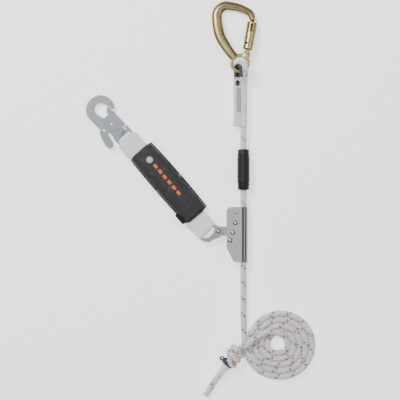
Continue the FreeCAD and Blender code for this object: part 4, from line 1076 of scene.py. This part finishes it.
def inflate(piece, pressure, cap):
    """Blow a closed form up as cloth, keep each point within cap of where it was, and apply it."""
    start = [v.co.copy() for v in piece.data.vertices]
    cloth_modifier = piece.modifiers.new("cloth", "CLOTH")
    settings = cloth_modifier.settings
    settings.use_pressure = True
    settings.uniform_pressure_force = pressure
    settings.effector_weights.gravity = 0
    settings.quality = 5
    settings.tension_stiffness = 25
    settings.compression_stiffness = 25
    settings.bending_stiffness = 2.0
    cloth_modifier.point_cache.frame_start = 1
    cloth_modifier.point_cache.frame_end = 20
    for number in range(1, 21):
        bpy.context.scene.frame_set(number)
    graph = bpy.context.evaluated_depsgraph_get()
    blown = [v.co.copy() for v in piece.evaluated_get(graph).data.vertices]
    piece.modifiers.remove(cloth_modifier)
    bpy.context.scene.frame_set(1)
    for vertex, was, now in zip(piece.data.vertices, start, blown):
        move = now - was
        if move.length > cap:
            move = move.normalized() * cap
        vertex.co = was + move
    piece.data.update()


cover_finish = Finish("black_cover", (0.022, 0.022, 0.024), roughness=0.62, Specular_IOR_Level=0.4)
cover = add_piece("cover_cloth", lofted("cover_cloth", cover_rows(0.0022, 0.0098)), cover_finish)
inflate(cover, 4.0, 0.0021)

# %% Wrinkles, seams and bound edges
from mathutils import noise as mnoise

INTO_COVER = COVER_FRAME.inverted()
for vertex in cover.data.vertices:
    local = INTO_COVER @ vertex.co
    along = abs(local.x) / HALF_LENGTH
    width = cover_half_width(local.x)
    near_edge = smooth((abs(local.y) / width - 0.55) / 0.4)
    crease = mnoise.fractal(Vector((local.x * 60, local.y * 38, local.z * 30)), 1.0, 2.1, 4)
    soft = mnoise.noise(Vector((local.x * 26, local.y * 30, 3.0 + local.z * 20)))
    lift = crease * (0.0005 + 0.0011 * near_edge) + soft * 0.0010
    seam_gap = abs(abs(local.x) - HALF_LENGTH * 0.90)
    lift -= 0.0007 * (1 - smooth(seam_gap / 0.0025))
    long_seam = abs(abs(local.y) - (width - 0.0048))
    lift -= 0.0005 * (1 - smooth(long_seam / 0.0020)) * smooth((0.95 - along) / 0.1)
    vertex.co = COVER_FRAME @ Vector((local.x, local.y, local.z + math.copysign(lift, local.z)))
cover.data.update()
weave = cover_finish.node("TexVoronoi", 0, None, Scale=900.0)
wear = cover_finish.noise(60, 5, 0.65)
cover_finish.color(cover_finish.mix(wear.ramp(0.48, 0.8) * 0.7, (0.016, 0.016, 0.018), (0.060, 0.060, 0.062)))
cover_finish.roughness(0.48 + wear * 0.25)
cover_finish.bump(weave * 0.5 + wear * 0.5, 0.0006, 0.55)
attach(cover, "absorber")
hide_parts("absorber_cover", "tear_pack", "pack_stitching")
cover_sub = cover.modifiers.new("smooth", "SUBSURF")
cover_sub.levels = 1
cover_sub.render_levels = 1

binding_finish = Finish("black_binding", (0.01, 0.01, 0.012), roughness=0.85, Specular_IOR_Level=0.15)
binding_weave = binding_finish.noise(1500, 2, 0.5)
binding_finish.color(binding_finish.mix(binding_weave, (0.006, 0.006, 0.007), (0.020, 0.020, 0.022)))
binding_finish.bump(binding_weave, 0.0004, 0.6)


def edge_point(x, side, z=0.0):
    return COVER_FRAME @ Vector((x, side * (cover_half_width(x) - 0.0007), z))


for side, side_name in ((1, "upper"), (-1, "lower")):
    run = [edge_point((k / 60 * 2 - 1) * (HALF_LENGTH - 0.004), side, 0.0006 * math.sin(k * 0.7))
           for k in range(61)]
    even_run, _ = even(run, 0.0016)
    binding = add_piece("cover_edge_" + side_name,
                        tube_mesh("cover_edge", even_run, lambda *_: 0.0013, 12), binding_finish)
    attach(binding, "absorber")

# %% [markdown]
# The print and the round badge lie on the cover's surface, so each is a patch that follows it.
# The closing tab is a flat rounded block beside the cover's edge. The print is a plain row of dashes.

# %% Print, badge and tab
cover_surface = surface_of(cover)
orange = Finish("orange_print", (0.80, 0.27, 0.03), roughness=0.5)
orange_wear = orange.noise(500, 3, 0.6)
orange.color(orange.mix(orange_wear.ramp(0.55, 0.75) * 0.5, (0.62, 0.13, 0.005), (0.24, 0.06, 0.01)))
grey = Finish("grey_badge", (0.36, 0.36, 0.36), roughness=0.5)
badge_marks = grey.noise(330, 2, 0.5).ramp(0.45, 0.55)
grey.color(grey.mix(badge_marks * 0.6, (0.46, 0.46, 0.46), (0.22, 0.22, 0.22)))
for i in range(6):
    place = COVER_FRAME @ Matrix.Translation(mm(-40.8 + i * 13.6, 2.4, 0))
    dash_outline = rounded_box(0.0092, 0.0062, 0.0014)
    dash = patch(f"print_dash_{i}", cover_surface, place, dash_outline, 0.0003, orange, 5)
    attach(dash, "absorber")
    if i == 0:
        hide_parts("cover_stripe")
badge_place = COVER_FRAME @ Matrix.Translation(mm(-58.0, 2.0, 0))
badge = patch("round_badge", cover_surface, badge_place, oval(0.013, 0.013), 0.0003, grey, 6)
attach(badge, "absorber")
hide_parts("cover_badge")
tab_rows = []
for height, shrink in ((2.6, 0.0006), (2.6, 0), (4.6, 0), (4.6, 0.0006)):
    outline = rounded_box(0.024 - 2 * shrink, 0.011 - 2 * shrink, 0.0022 - shrink)
    tab_rows.append([COVER_FRAME @ (Vector((x, y, 0)) + mm(67, -26.5, height)) for x, y in outline])
tab = add_piece("closing_tab", lofted("closing_tab", tab_rows), binding_finish)
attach(tab, "absorber")
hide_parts("cover_tab")

# %% [markdown]
# ## Floor and light
# A plain white floor, a wide soft light above and two long side lights. The sky is a bright
# ring, with a dim hole straight overhead and darkness towards the horizon, so that round metal
# bars get a dark edge and a bright line, as they do in a light tent.

# %% Floor
floor_mesh = bpy.data.meshes.new("floor")
floor_mesh.from_pydata([(-4, -4, 0), (4, -4, 0), (4, 4, 0), (-4, 4, 0)], [], [(0, 1, 2, 3)])
floor_finish = Finish("floor_white", (0.90, 0.90, 0.90), roughness=0.9, Specular_IOR_Level=0.1)
floor_finish.shader.inputs["Emission Color"].default_value = (1, 1, 1, 1)
floor_finish.shader.inputs["Emission Strength"].default_value = 1.0
floor = add_piece("floor", floor_mesh, floor_finish)
floor.location.z = -0.0002

# %% Sky and lamps
world = bpy.data.worlds.new("sky")
bpy.context.scene.world = world
world.use_nodes = True
sky = world.node_tree
direction = sky.nodes.new("ShaderNodeTexCoord")
height = sky.nodes.new("ShaderNodeSeparateXYZ")
sky.links.new(direction.outputs["Generated"], height.inputs[0])


def by_height(low, high, start, end):
    """A brightness that goes from start to end as the sky's height goes from low to high."""
    fade = sky.nodes.new("ShaderNodeMapRange")
    fade.interpolation_type = "SMOOTHSTEP"
    for name, number in (("From Min", low), ("From Max", high), ("To Min", start), ("To Max", end)):
        fade.inputs[name].default_value = number
    sky.links.new(height.outputs["Z"], fade.inputs["Value"])
    return fade.outputs["Result"]


horizon = by_height(0.45, 0.97, 0.035, 1.0)
overhead = by_height(0.965, 0.993, 1.0, 0.22)
both = sky.nodes.new("ShaderNodeMath")
both.operation = "MULTIPLY"
sky.links.new(horizon, both.inputs[0])
sky.links.new(overhead, both.inputs[1])
sky.links.new(both.outputs["Value"], sky.nodes["Background"].inputs["Color"])
sky.nodes["Background"].inputs["Strength"].default_value = 1.0


def lamp(name, place, aim, width, length, power):
    light = bpy.data.lights.new(name, "AREA")
    light.shape = "RECTANGLE"
    light.size = width
    light.size_y = length
    light.energy = power
    holder = bpy.data.objects.new(name, light)
    holder.location = place
    holder.rotation_euler = (Vector(aim) - Vector(place)).to_track_quat("-Z", "Y").to_euler()
    bpy.context.scene.collection.objects.link(holder)
    return holder


SET_MIDDLE = (0.05, -0.13, 0)
lamp("key", (-1.15, 1.25, 2.2), SET_MIDDLE, 0.9, 1.1, 78)
lamp("fill", (1.5, 0.3, 1.9), SET_MIDDLE, 0.25, 1.6, 13)
lamp("strip", (-0.2, -1.5, 1.9), SET_MIDDLE, 1.4, 0.25, 9)
print("lights set")
